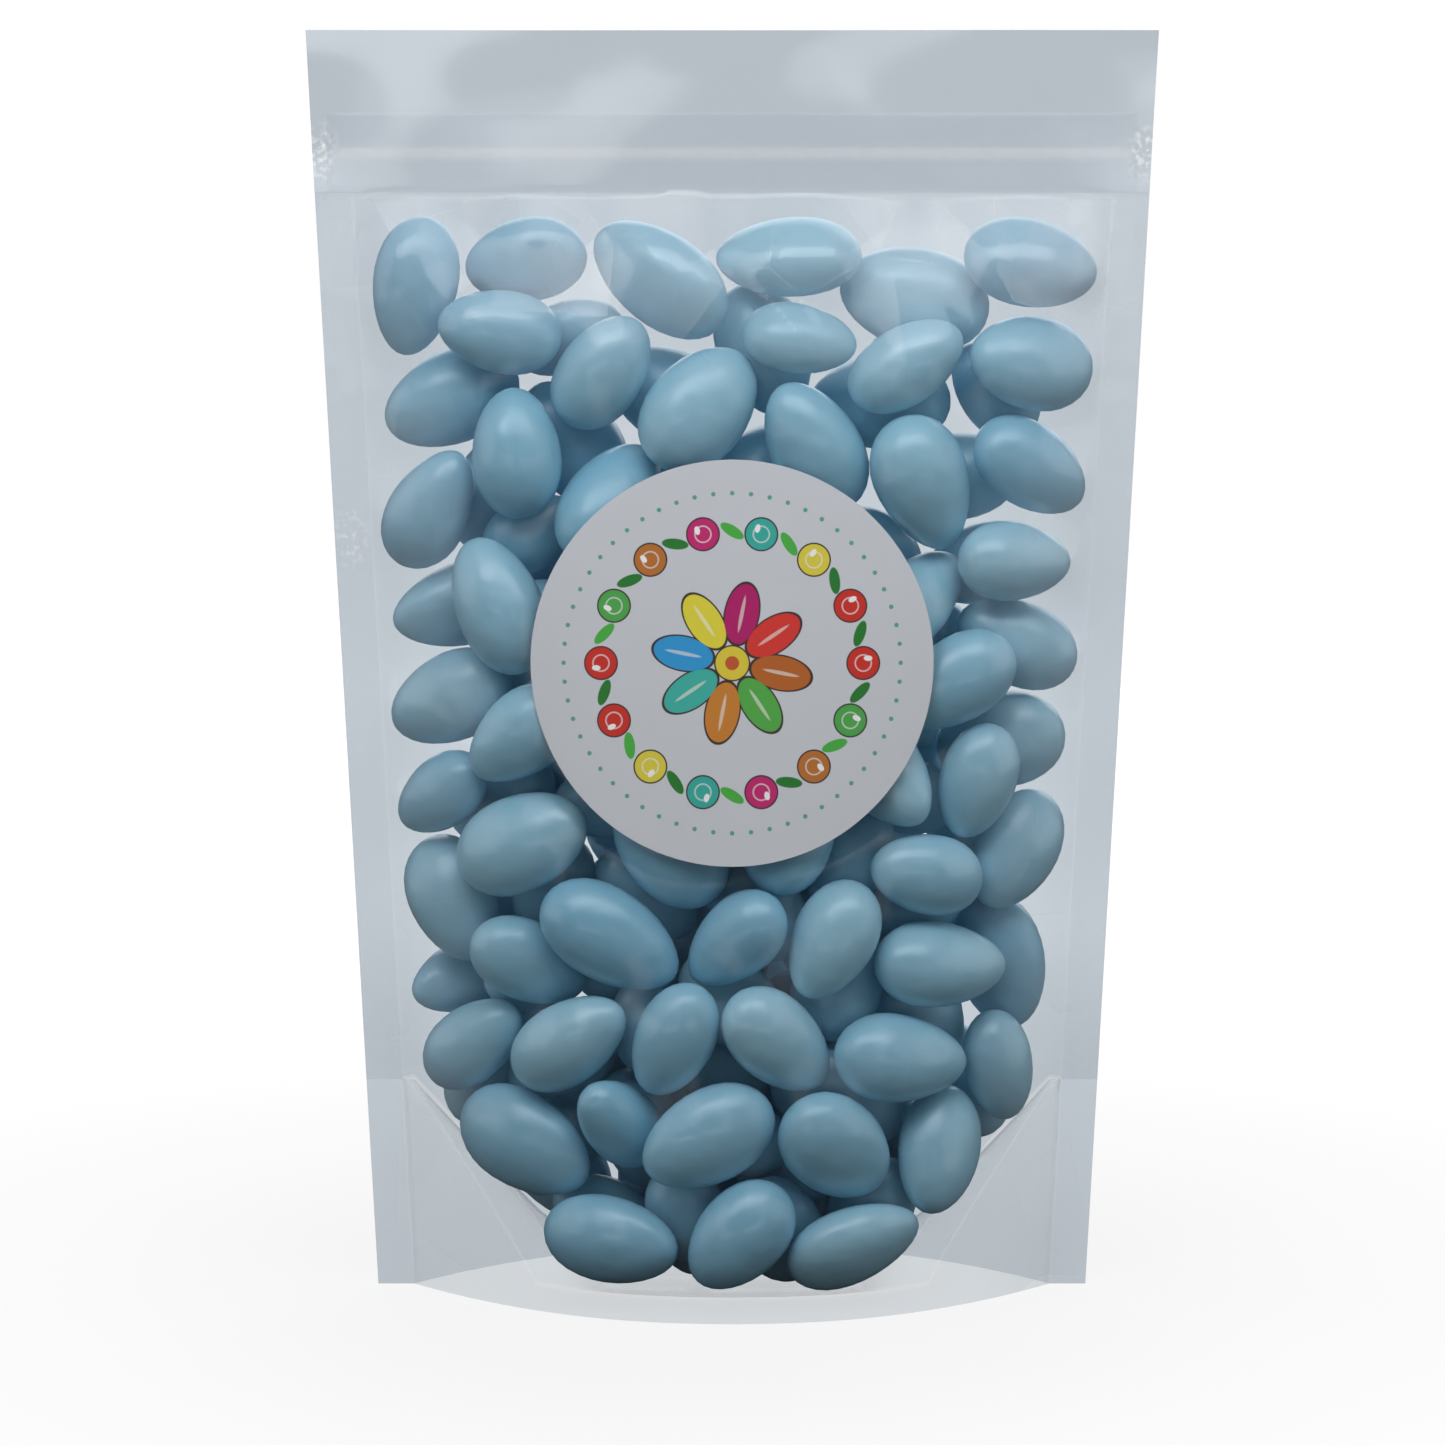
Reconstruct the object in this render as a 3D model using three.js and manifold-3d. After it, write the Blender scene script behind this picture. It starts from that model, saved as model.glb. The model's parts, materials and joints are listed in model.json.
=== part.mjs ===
// A clear stand-up pouch of sugared almonds, zipped shut, with a round sticker on its front.
//
// Millimetres, +Z up. The pouch stands on its oval base at z = 0, its front faces -Y and X runs
// across it. The pouch is one solid out to its film: the belly, the almonds that press the film out,
// the flat header above them and the ribs of the zip. The sticker lies on the belly's front.

import * as THREE from "three";
import { mergeVertices } from "three/addons/utils/BufferGeometryUtils.js";
import Module from "manifold-3d";

const wasm = await Module();
wasm.setup();

// The empty pouch, laid flat
const POUCH_WIDTH = 160;
const POUCH_HEIGHT = 240;
const SIDE_SEAL = 7;
const SKIRT_SEAL = 5;
const GUSSET_HEIGHT = 40;
const GUSSET_LEVEL_HALF = 37;
const GUSSET_SEAL_BEND = 0.9;
const FILM_HALF = 0.4;
const FILM_GIVE = 3;

// The filled pouch: opening the gusset pulls the base in to this width
const BASE_WIDTH = 136;
const SHOULDER_Z = 165;
const CLOSED_Z = 209;
const BASE_FULLNESS = 2.2;
const TOP_FULLNESS = 11;
const CLOSING_BEND = 7;

// The zip: a band of tape on each face of the header, with a rib along its middle
const ZIP_Z = 217;
const ZIP_BAND_HEIGHT = 15;
const ZIP_BAND_HALF = 0.8;
const ZIP_RIB_HEIGHT = 2.4;
const ZIP_RIB_HALF = 1.5;
const ZIP_END_GAP = 3;

// The almonds that touch the film, in staggered rows
const ALMOND_LENGTH = 26;
const ALMOND_WIDTH = 18.5;
const SIZE_SPREAD = 0.26;
const FIRST_ROW_Z = 12;
const ROW_PITCH = 17;
const ROW_COUNT = 12;
const ALMOND_SPACING = 24;
const ROW_MARGIN = 1;
const ROW_JITTER = 6;
const MOST_TILT = THREE.MathUtils.degToRad(80);
const LUMP_RISE = 3.6;
const VALLEY_DEPTH = 2.4;
const FULL_RELIEF_DEPTH = 8;

// What is drawn for each almond, and the mixing numbers of the repeatable draw
const DRAW = { ACROSS: 1, UP: 2, SIZE: 3, TILT: 4 };
const DRAW_PER_ROW = 20;
const DRAW_MIX = [12.9898, 78.233, 43758.5453];

// The sticker, pressed flat onto the belly
const LABEL_RADIUS = 37.7;
const LABEL_THICKNESS = 0.4;
const LABEL_GAP = 0.3;
const LABEL_Z = 123;
const LABEL_PRESS_WIDTH = 5;

// The meshes' divisions
const BELLY_COLUMNS = 42;
const BELLY_ROWS = 54;
const HEADER_ROWS = 3;
const LABEL_SEGMENTS = 48;
const LABEL_RINGS = 7;
const MERGE_WITHIN = 1e-3;

const { clamp, lerp, smoothstep } = THREE.MathUtils;

// Half of the pouch's width at a height: its side edges are straight and lean in to the base.
const halfWidth = (z) => lerp(BASE_WIDTH, POUCH_WIDTH, z / POUCH_HEIGHT) / 2;

// Half of the belly's width at a height, out to the side seals.
const bellyHalf = (z) => halfWidth(z) - SIDE_SEAL;

// How square the belly's section is at a height: a lens at the base, over the opened gusset, and
// nearly a flat box at the top, where the film lies on little more than one layer of almonds.
const fullness = (z) => lerp(BASE_FULLNESS, TOP_FULLNESS, (z / POUCH_HEIGHT) ** 2);

// Half of the belly's depth at a height. The film between the seals keeps its flat length and the
// little that it stretches, so the more its chord is pulled in, the deeper it bows. A shallow section
// b(1 - |x/c|^p), of half chord c and depth b, is 2c + b²p²/c(2p - 1) long. Above the shoulder the
// belly rounds over until the films meet.
function bellyDepth(z) {
  const chord = bellyHalf(z);
  const power = fullness(z);
  const spare = POUCH_WIDTH + FILM_GIVE - 2 * SIDE_SEAL - 2 * chord;
  const bow = Math.sqrt(chord * spare * (2 * power - 1)) / power;
  const rise = clamp((z - SHOULDER_Z) / (CLOSED_Z - SHOULDER_Z), 0, 1);
  return bow * (1 - Math.pow(rise, CLOSING_BEND));
}

// How much of the belly's depth is left at a point across it: 1 in the middle, 0 at the side seals.
function acrossShare(x, z) {
  const across = Math.min(Math.abs(x) / bellyHalf(z), 1);
  return 1 - Math.pow(across, fullness(z));
}

// The film's distance from the pouch's middle plane, without the almonds' lumps.
const envelope = (x, z) => FILM_HALF + bellyDepth(z) * acrossShare(x, z);

// The height of the seal that joins the bottom gusset to a panel: level in the middle, and slanting
// up to the gusset's fold at the side seals.
function gussetSeal(x) {
  const outward = (Math.abs(x) - GUSSET_LEVEL_HALF) / (bellyHalf(0) - GUSSET_LEVEL_HALF);
  return lerp(SKIRT_SEAL, GUSSET_HEIGHT, Math.pow(clamp(outward, 0, 1), GUSSET_SEAL_BEND));
}

// A repeatable draw from 0 to 1 for an almond's number and what is drawn for it.
function draw(number, purpose) {
  const wave = Math.sin(number * DRAW_MIX[0] + purpose * DRAW_MIX[1]) * DRAW_MIX[2];
  return wave - Math.floor(wave);
}

// The almonds behind one face of the film, in staggered rows with uneven places, sizes and tilts.
function almondLayer(layer) {
  const almonds = [];
  for (let row = 0; row < ROW_COUNT; row++) {
    const rowZ = FIRST_ROW_Z + row * ROW_PITCH;
    const reach = bellyHalf(rowZ) - ROW_MARGIN;
    const count = Math.round((2 * reach) / ALMOND_SPACING - ((row + layer) % 2) / 2);
    for (let place = 0; place < count; place++) {
      const number = (layer * ROW_COUNT + row) * DRAW_PER_ROW + place;
      const size = 1 + SIZE_SPREAD * (draw(number, DRAW.SIZE) - 0.5);
      almonds.push({
        x: reach * ((2 * place + 1) / count - 1) + ROW_JITTER * (draw(number, DRAW.ACROSS) - 0.5),
        z: rowZ + ROW_JITTER * (draw(number, DRAW.UP) - 0.5),
        tilt: MOST_TILT * (2 * draw(number, DRAW.TILT) - 1),
        halfLength: (ALMOND_LENGTH * size) / 2,
        halfWidth: (ALMOND_WIDTH * size) / 2,
      });
    }
  }
  return almonds;
}

// How far the foremost almond presses the film out, from 0 between almonds to 1 on one's crown.
function lumpShare(almonds, x, z) {
  let most = 0;
  for (const almond of almonds) {
    const dx = x - almond.x;
    const dz = z - almond.z;
    const along = (dx * Math.cos(almond.tilt) + dz * Math.sin(almond.tilt)) / almond.halfLength;
    const aside = (dz * Math.cos(almond.tilt) - dx * Math.sin(almond.tilt)) / almond.halfWidth;
    most = Math.max(most, 1 - along * along - aside * aside);
  }
  return most;
}

// How strongly the sticker holds the film flat, on the front only.
function labelHold(x, z) {
  const fromCentre = Math.hypot(x, z - LABEL_Z);
  return 1 - smoothstep(fromCentre, LABEL_RADIUS, LABEL_RADIUS + LABEL_PRESS_WIDTH);
}

// The film's distance from the middle plane on one face, with the almonds' lumps. They fade out
// where the faces come together, under the sticker, and below the gusset's seal, where no almond is.
function filmDepth(x, z, almonds, isFront) {
  const depth = envelope(x, z);
  const loose = Math.min(1, (depth - FILM_HALF) / FULL_RELIEF_DEPTH);
  const filled = smoothstep(z, gussetSeal(x), gussetSeal(x) + SKIRT_SEAL);
  const free = isFront ? 1 - labelHold(x, z) : 1;
  return depth + loose * filled * free * (LUMP_RISE * lumpShare(almonds, x, z) - VALLEY_DEPTH);
}

// A closed geometry with only its shared positions, as a solid for joining.
function solidOf(geometry) {
  const bare = new THREE.BufferGeometry().setAttribute("position", geometry.getAttribute("position"));
  if (geometry.index) bare.setIndex(geometry.index);
  const merged = mergeVertices(bare, MERGE_WITHIN);
  return new wasm.Manifold(
    new wasm.Mesh({
      numProp: 3,
      vertProperties: merged.getAttribute("position").array,
      triVerts: new Uint32Array(merged.index.array),
    }),
  );
}

// A solid's surface as a geometry.
function geometryOf(solid) {
  const mesh = solid.getMesh();
  const geometry = new THREE.BufferGeometry();
  geometry.setAttribute("position", new THREE.BufferAttribute(mesh.vertProperties, 3));
  geometry.setIndex(new THREE.BufferAttribute(mesh.triVerts, 1));
  geometry.computeVertexNormals();
  return geometry;
}

// The film's outside: a box whose grid is moved out to the belly. Its outermost columns are the
// side seals, and its topmost rows the header.
function filmSurface() {
  const columns = BELLY_COLUMNS + 2;
  const rows = BELLY_ROWS + HEADER_ROWS;
  const geometry = new THREE.BoxGeometry(columns, 2, rows, columns, 1, rows);
  const position = geometry.getAttribute("position");
  const layers = [almondLayer(0), almondLayer(1)];
  for (let i = 0; i < position.count; i++) {
    const column = (2 * position.getX(i)) / BELLY_COLUMNS;
    const side = Math.sign(position.getY(i));
    const row = position.getZ(i) + rows / 2;
    const z =
      row <= BELLY_ROWS
        ? (CLOSED_Z * row) / BELLY_ROWS
        : lerp(CLOSED_Z, POUCH_HEIGHT, (row - BELLY_ROWS) / HEADER_ROWS);
    const x = Math.abs(column) > 1 ? Math.sign(column) * halfWidth(z) : column * bellyHalf(z);
    const isFront = side < 0;
    position.setXYZ(i, x, side * filmDepth(x, z, layers[isFront ? 0 : 1], isFront), z);
  }
  return geometry;
}

// The zip's band and rib on both faces, as one bar through the header.
function zipBar() {
  const bandHalf = ZIP_BAND_HEIGHT / 2;
  const ribHalf = ZIP_RIB_HEIGHT / 2;
  const outline = [
    [ZIP_BAND_HALF, -bandHalf],
    [ZIP_BAND_HALF, -ribHalf],
    [ZIP_RIB_HALF, -ribHalf / 2],
    [ZIP_RIB_HALF, ribHalf / 2],
    [ZIP_BAND_HALF, ribHalf],
    [ZIP_BAND_HALF, bandHalf],
  ];
  const mirrored = outline.map(([depth, height]) => [-depth, height]).reverse();
  const shape = new THREE.Shape([...outline, ...mirrored].map((point) => new THREE.Vector2(...point)));
  const length = 2 * (halfWidth(ZIP_Z - bandHalf) - ZIP_END_GAP);
  const geometry = new THREE.ExtrudeGeometry(shape, { depth: length, bevelEnabled: false });
  geometry.translate(0, 0, -length / 2);
  const axes = [new THREE.Vector3(0, 1, 0), new THREE.Vector3(0, 0, 1), new THREE.Vector3(1, 0, 0)];
  geometry.applyMatrix4(new THREE.Matrix4().makeBasis(...axes));
  geometry.translate(0, 0, ZIP_Z);
  return geometry;
}

// The pouch: its film's surface joined with the zip.
function pouch() {
  const material = new THREE.MeshStandardMaterial({ color: 0x9fbecb, roughness: 0.35, metalness: 0 });
  const mesh = new THREE.Mesh(geometryOf(solidOf(filmSurface()).add(solidOf(zipBar()))), material);
  mesh.name = "pouch";
  return mesh;
}

// The sticker: a thin round disc, bent to the belly and a little clear of it.
function label() {
  const radii = Array.from({ length: LABEL_RINGS + 1 }, (_, ring) => (LABEL_RADIUS * ring) / LABEL_RINGS);
  const front = radii.map((radius) => new THREE.Vector2(radius, LABEL_THICKNESS));
  const back = radii.map((radius) => new THREE.Vector2(radius, 0)).reverse();
  const geometry = new THREE.LatheGeometry([...front, ...back], LABEL_SEGMENTS);
  const position = geometry.getAttribute("position");
  for (let i = 0; i < position.count; i++) {
    const x = position.getX(i);
    const z = position.getZ(i) + LABEL_Z;
    position.setXYZ(i, x, -(envelope(x, z) + LABEL_GAP + position.getY(i)), z);
  }
  geometry.deleteAttribute("normal");
  geometry.deleteAttribute("uv");
  const merged = mergeVertices(geometry, MERGE_WITHIN);
  merged.computeVertexNormals();
  const material = new THREE.MeshStandardMaterial({ color: 0xd4d6dc, roughness: 0.45, metalness: 0 });
  const mesh = new THREE.Mesh(merged, material);
  mesh.name = "label";
  return mesh;
}

const object = new THREE.Group();
object.add(pouch(), label());

// The origin is the middle of the whole object's base.
const box = new THREE.Box3().setFromObject(object);
object.position.set(-(box.min.x + box.max.x) / 2, -(box.min.y + box.max.y) / 2, -box.min.z);

export default object;
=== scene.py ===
"""A clear stand-up pouch of sugared almonds, zipped shut, with a round sticker on its front.

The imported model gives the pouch's size. The almonds settle inside the pouch's form, the film is
drawn tight over them, and the zip and the sticker lie on the film. Everything is in metres in the
model's own frame: +Z is up and the front faces -Y.
"""

import json
import logging
import math
from dataclasses import dataclass, field
from enum import Enum
from functools import partial
from typing import Any, Callable, Optional, Union

import bmesh
import bpy
import numpy as np
from mathutils import Matrix, Vector

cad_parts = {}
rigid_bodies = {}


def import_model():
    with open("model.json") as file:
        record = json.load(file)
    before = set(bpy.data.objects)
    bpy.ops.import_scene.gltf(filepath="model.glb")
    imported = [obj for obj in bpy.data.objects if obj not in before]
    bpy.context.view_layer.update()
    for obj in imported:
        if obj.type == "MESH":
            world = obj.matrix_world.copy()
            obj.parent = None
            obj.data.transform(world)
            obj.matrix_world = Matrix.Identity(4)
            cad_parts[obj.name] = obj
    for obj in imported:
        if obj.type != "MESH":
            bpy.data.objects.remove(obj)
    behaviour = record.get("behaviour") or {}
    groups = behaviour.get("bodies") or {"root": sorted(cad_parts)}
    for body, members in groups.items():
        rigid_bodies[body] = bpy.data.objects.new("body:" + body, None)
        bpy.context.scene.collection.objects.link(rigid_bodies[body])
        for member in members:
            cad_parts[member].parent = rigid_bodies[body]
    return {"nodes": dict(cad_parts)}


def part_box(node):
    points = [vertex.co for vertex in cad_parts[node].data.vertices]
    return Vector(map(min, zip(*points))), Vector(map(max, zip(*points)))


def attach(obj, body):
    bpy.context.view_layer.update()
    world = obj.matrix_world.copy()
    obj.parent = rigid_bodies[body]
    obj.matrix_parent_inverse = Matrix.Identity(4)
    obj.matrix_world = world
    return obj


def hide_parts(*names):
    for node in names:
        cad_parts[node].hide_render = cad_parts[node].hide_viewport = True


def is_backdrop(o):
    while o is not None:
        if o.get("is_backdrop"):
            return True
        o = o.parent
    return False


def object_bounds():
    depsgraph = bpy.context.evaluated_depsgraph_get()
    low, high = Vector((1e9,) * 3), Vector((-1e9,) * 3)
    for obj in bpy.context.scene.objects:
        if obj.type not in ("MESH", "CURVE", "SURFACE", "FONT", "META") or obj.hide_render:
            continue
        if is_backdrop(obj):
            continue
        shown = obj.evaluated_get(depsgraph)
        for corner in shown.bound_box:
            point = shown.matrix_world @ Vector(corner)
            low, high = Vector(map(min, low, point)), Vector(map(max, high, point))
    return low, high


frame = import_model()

Array = np.ndarray
Colour = tuple[float, float, float]
Faces = list[tuple[int, ...]]
WHITE = (1.0, 1.0, 1.0, 1.0)

BODY = "root"
CAD_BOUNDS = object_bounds()
MM = 0.001
TINY = 1e-9
RIM_ANGLE = math.radians(45)
FRESNEL_POWER = 5

log = logging.getLogger("pouch")


class Face(Enum):
    """The pouch's two faces, by the way along Y that each one looks."""

    FRONT = -1
    BACK = 1


class Slot(Enum):
    """The record's material slots."""

    FILM = "film"
    LABEL = "label"


def blend(low: Any, high: Any, share: Any) -> Any:
    """Returns the value that lies that share of the way from low to high."""
    return low + (high - low) * share


def smooth(value: Any, low: Any, high: Any) -> Array:
    """Returns 0 below low, 1 above high, and an even S between them."""
    share = np.clip((value - low) / (high - low), 0.0, 1.0)
    return share * share * (3.0 - 2.0 * share)


@dataclass(frozen=True)
class StickerPlace:
    """Where the round sticker is pressed flat onto the front."""

    x: float
    z: float
    radius: float
    press_width: float = 5 * MM

    def hold(self, x: Array, z: Array) -> Array:
        """Returns how strongly the sticker holds the film flat, from 0 to 1."""
        far = np.hypot(x - self.x, z - self.z)
        return 1.0 - smooth(far, self.radius, self.radius + self.press_width)


@dataclass(frozen=True)
class PouchForm:
    """The filled pouch's form: how far its film stands out from the seam plane.

    Heights are above the base, distances across are from the middle, and depths are from the
    seam plane, in which the side seals lie.
    """

    top_width: float
    height: float
    seam_y: float
    sticker: StickerPlace
    base_width: float = 136 * MM
    side_seal: float = 7 * MM
    skirt_seal: float = 5 * MM
    gusset_height: float = 40 * MM
    gusset_level_half: float = 37 * MM
    gusset_seal_bend: float = 0.9
    gusset_fold_half: float = 22 * MM
    gusset_sag: float = 3.6 * MM
    film_half: float = 0.15 * MM
    film_give: float = 3 * MM
    shoulder: float = 165 * MM
    closed: float = 209 * MM
    base_fullness: float = 2.2
    top_fullness: float = 11.0
    closing_bend: float = 7.0
    relief: float = 1.2 * MM
    relief_depth: float = 8 * MM

    def half_width(self, z: Array) -> Array:
        """Returns half of the pouch's width at a height."""
        return blend(self.base_width, self.top_width, z / self.height) / 2

    def belly_half(self, z: Array) -> Array:
        """Returns half of the belly's width at a height, out to the side seals."""
        return self.half_width(z) - self.side_seal

    def belly_depth(self, z: Array) -> Array:
        """Returns the belly's greatest depth at a height.

        The film between the seals keeps its flat length and the little that it stretches, so
        the more its chord is pulled in, the deeper it bows.

        Args:
            z: Heights above the base.

        Returns:
            The depths, which come to nothing where the faces meet below the zip.
        """
        chord = self.belly_half(z)
        power = self.fullness(z)
        spare = self.top_width + self.film_give - 2 * self.side_seal - 2 * chord
        bow = np.sqrt(chord * spare * (2 * power - 1)) / power
        rise = np.clip((z - self.shoulder) / (self.closed - self.shoulder), 0.0, 1.0)
        return bow * (1.0 - rise**self.closing_bend)

    def fullness(self, z: Array) -> Array:
        """Returns how square the belly's section is at a height."""
        return blend(self.base_fullness, self.top_fullness, (z / self.height) ** 2)

    def envelope(self, x: Array, z: Array) -> Array:
        """Returns the film's depth without the almonds' lumps."""
        across = np.clip(np.abs(x) / self.belly_half(z), 0.0, 1.0)
        return self.film_half + self.belly_depth(z) * (1.0 - across ** self.fullness(z))

    def crown(self, x: Array, z: Array, face: Face) -> Array:
        """Returns how far out the almonds may press the film.

        Args:
            x: Distances across.
            z: Heights above the base.
            face: The face that is pressed.

        Returns:
            The depths of the almonds' crowns.
        """
        depth = self.envelope(x, z)
        loose = np.clip((depth - self.film_half) / self.relief_depth, 0.0, 1.0)
        hold = self.sticker.hold(x, z) if face is Face.FRONT else 0.0
        return depth + self.relief * loose * (1.0 - 1.5 * hold)

    def gusset_seal(self, x: Array) -> Array:
        """Finds the slanting seal between the gusset and a panel.

        Args:
            x: Distances across.

        Returns:
            The seal's heights.
        """
        reach = self.belly_half(0.0) - self.gusset_level_half
        outward = np.clip((np.abs(x) - self.gusset_level_half) / reach, 0.0, 1.0)
        return blend(self.skirt_seal, self.gusset_height, outward**self.gusset_seal_bend)

    def gusset_fold(self, x: Array) -> Array:
        """Finds the gusset's middle line, low where it has opened.

        Args:
            x: Distances across.

        Returns:
            The line's heights.
        """
        reach = self.belly_half(0.0) - self.gusset_fold_half
        outward = np.clip((np.abs(x) - self.gusset_fold_half) / reach, 0.0, 1.0)
        return blend(self.skirt_seal - self.gusset_sag, self.gusset_height, outward**1.2)

    def floor(self, x: Array, y: Array) -> Array:
        """Returns the height of the opened gusset, which the almonds lie on.

        Args:
            x: Distances across.
            y: Distances from the seam plane.

        Returns:
            The heights: the seal's at the panels and the fold's in the middle.
        """
        seal = self.gusset_seal(x)
        reach = np.maximum(self.envelope(x, seal), self.film_half)
        share = np.clip(np.abs(y) / reach, 0.0, 1.0)
        return blend(self.gusset_fold(x), seal, share**2)


@dataclass(frozen=True)
class Touch:
    """Where pairs of bodies touch: how near, which way, and at which arm from the first."""

    closeness: Array
    normal: Array
    arm: Array


def closest_touch(gap: Array, first: Array, second: Array, rounds: int = 9) -> Touch:
    """Finds by how much pairs of ellipsoids have to swell until they just touch.

    Args:
        gap: The way from each first centre to its second one.
        first: The first ellipsoids' matrices, turned squares of their half axes.
        second: The second ellipsoids' matrices.
        rounds: How often the interval that holds the touching weight is halved.

    Returns:
        The touch, whose closeness is below 1 where the ellipsoids overlap.
    """
    low = np.zeros(len(gap))
    high = np.ones(len(gap))
    for _ in range(rounds):
        weight = (low + high) / 2
        mixed = first + (second - first) * weight[:, None, None]
        pull = np.linalg.solve(mixed, gap[:, :, None])[:, :, 0]
        along = np.einsum("ni,ni->n", gap, pull)
        bend = np.einsum("ni,nij,nj->n", pull, second - first, pull)
        rising = (1 - 2 * weight) * along - weight * (1 - weight) * bend > 0
        low = np.where(rising, weight, low)
        high = np.where(rising, high, weight)
    closeness = np.sqrt(weight * (1 - weight) * along)
    arm = np.einsum("nij,nj->ni", first, pull) * (1 - weight)[:, None]
    return Touch(closeness, pull / np.linalg.norm(pull, axis=1)[:, None], arm)


def turn_matrices(turns: Array) -> Array:
    """Works out rotation matrices.

    Args:
        turns: Unit quaternions in w, x, y, z order.

    Returns:
        The matrices.
    """
    w, x, y, z = turns.T
    return np.stack(
        [
            np.stack([1 - 2 * (y * y + z * z), 2 * (x * y - w * z), 2 * (x * z + w * y)], -1),
            np.stack([2 * (x * y + w * z), 1 - 2 * (x * x + z * z), 2 * (y * z - w * x)], -1),
            np.stack([2 * (x * z - w * y), 2 * (y * z + w * x), 1 - 2 * (x * x + y * y)], -1),
        ],
        axis=1,
    )


def turned_by(turns: Array, spin: Array) -> Array:
    """Turns unit quaternions a little.

    Args:
        turns: The quaternions in w, x, y, z order.
        spin: The small turns, as vectors in radians.

    Returns:
        The turned quaternions, of unit length.
    """
    w, vector = turns[:, :1], turns[:, 1:]
    new_w = w - 0.5 * np.sum(spin * vector, axis=1, keepdims=True)
    new_vector = vector + 0.5 * (spin * w + np.cross(spin, vector))
    made = np.concatenate([new_w, new_vector], axis=1)
    return made / np.linalg.norm(made, axis=1, keepdims=True)


@dataclass
class AlmondFill:
    """The almonds' places, turns and sizes, settled inside the pouch's form.

    They start evenly spread, the outer ones flat against the film, and grow from a smaller
    size while their overlaps and the walls push them about. In the end the most crowded ones
    give way a little, until nothing overlaps any more.
    """

    form: PouchForm
    count: int = 158
    half_axes: tuple[float, float, float] = (14.0 * MM, 10.0 * MM, 7.8 * MM)
    size_spread: float = 0.26
    shape_spread: float = 0.12
    inset: float = 5 * MM
    top: float = 203 * MM
    ceiling: float = 205.5 * MM
    side_room: float = 7 * MM
    candidates: int = 40
    depth_weight: float = 1.3
    outer_reach: float = 13 * MM
    most_tilt: float = math.radians(85)
    tilt_bend: float = 1.8
    keep_lie: float = 0.06
    last_drift: float = 0.1
    lean: float = math.radians(14)
    steps: int = 1000
    growing_share: float = 0.6
    easing_share: float = 0.8
    easing: float = 0.03
    allowed_overlap: float = 0.4 * MM
    draws_each: int = 60
    least_inward: float = 0.05
    least_lie: float = 0.35
    turn_weight: float = 0.4
    sink_step: float = 0.12 * MM
    press_step: float = 0.1 * MM
    step_share: float = 0.6
    most_move: float = 1.5 * MM
    most_spin: float = 0.08
    probe: float = 0.5 * MM
    first_scale: float = 0.5
    film_clearance: float = 0.45 * MM
    seed: int = 111
    centres: Array = field(init=False)
    turns: Array = field(init=False)
    halves: Array = field(init=False)
    layers: Array = field(init=False)
    lies: Array = field(init=False)

    def settle(self) -> None:
        """Places the almonds and moves them until they no longer overlap."""
        self._place()
        for step in range(self.steps):
            share = min(1.0, step / (self.steps * self.growing_share))
            easing = step > self.steps * self.easing_share
            drift = 0.0 if easing else max(1.0 - share, self.last_drift)
            crowding = self._relax(blend(self.first_scale, 1.0, share), drift)
            if easing:
                excess = np.maximum(crowding - self.allowed_overlap, 0.0)
                self.halves *= 1 - self.easing * excess[:, None] / self.half_axes[1]
        log.info("almonds: %d settled, deepest overlap %.2f mm", self.count, crowding.max() / MM)

    def matrices(self, scale: float = 1.0) -> Array:
        """Returns the ellipsoids' matrices at a share of their size."""
        turn = turn_matrices(self.turns)
        return np.einsum("nij,nj,nkj->nik", turn, (self.halves * scale) ** 2, turn)

    def _place(self) -> None:
        """Spreads the almonds' first places through the pouch, each far from the others."""
        random = np.random.default_rng(self.seed)
        form = self.form
        draws = random.random((self.draws_each * self.count, 3))
        z = blend(self.inset, self.top, draws[:, 2])
        x = (2 * draws[:, 0] - 1) * (form.belly_half(z) - self.inset)
        y = (2 * draws[:, 1] - 1) * float(form.belly_depth(0.0))
        reach = form.envelope(x, z)
        inside = np.abs(y) < reach
        y = y * np.maximum(1 - self.inset / reach, self.least_inward)
        pool = np.stack([x, y, z], -1)[inside & (z > form.floor(x, y) + self.inset)]
        weights = np.array([1.0, self.depth_weight, 1.0])
        chosen = [pool[0]]
        while len(chosen) < self.count:
            offered = pool[random.integers(len(pool), size=self.candidates)]
            gaps = (offered[:, None] - np.array(chosen)[None]) * weights
            chosen.append(offered[np.argmax(np.linalg.norm(gaps, axis=2).min(axis=1))])
        self.centres = np.array(chosen)
        x, y, z = self.centres.T
        outer = form.envelope(x, z) - np.abs(y) < self.outer_reach
        self.layers = np.where(outer, np.sign(y), 0.0)
        size = 1 + self.size_spread * (random.random(self.count) - 0.5)
        shape = 1 + self.shape_spread * (random.random((self.count, 3)) - 0.5)
        self.halves = np.array(self.half_axes) * size[:, None] * shape
        draw = 2 * random.random(self.count) - 1
        tilts = self.most_tilt * np.sign(draw) * np.abs(draw) ** self.tilt_bend
        self.turns = self._first_turns(tilts, random)
        self.lies = turn_matrices(self.turns)

    def _first_turns(self, tilts: Array, random: np.random.Generator) -> Array:
        """Lays each almond flat against its face, tilted and leaning a little.

        Args:
            tilts: The almonds' tilts in the plane of the face.
            random: The repeatable draw.

        Returns:
            The quaternions of turns that take the local axes, longest first, to their places.
        """
        half = tilts / 2
        zero = np.zeros_like(half)
        tilted = np.stack([np.cos(half), zero, np.sin(half), zero], -1)
        flat = np.array([math.cos(math.pi / 4), math.sin(math.pi / 4), 0.0, 0.0])
        w1, v1 = tilted[:, :1], tilted[:, 1:]
        w2, v2 = flat[0], flat[1:]
        w = w1 * w2 - v1 @ v2[:, None]
        v = w1 * v2 + w2 * v1 + np.cross(v1, v2)
        leaning = self.lean * random.normal(size=(len(tilts), 3))
        return turned_by(np.concatenate([w, v], axis=1), leaning)

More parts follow.
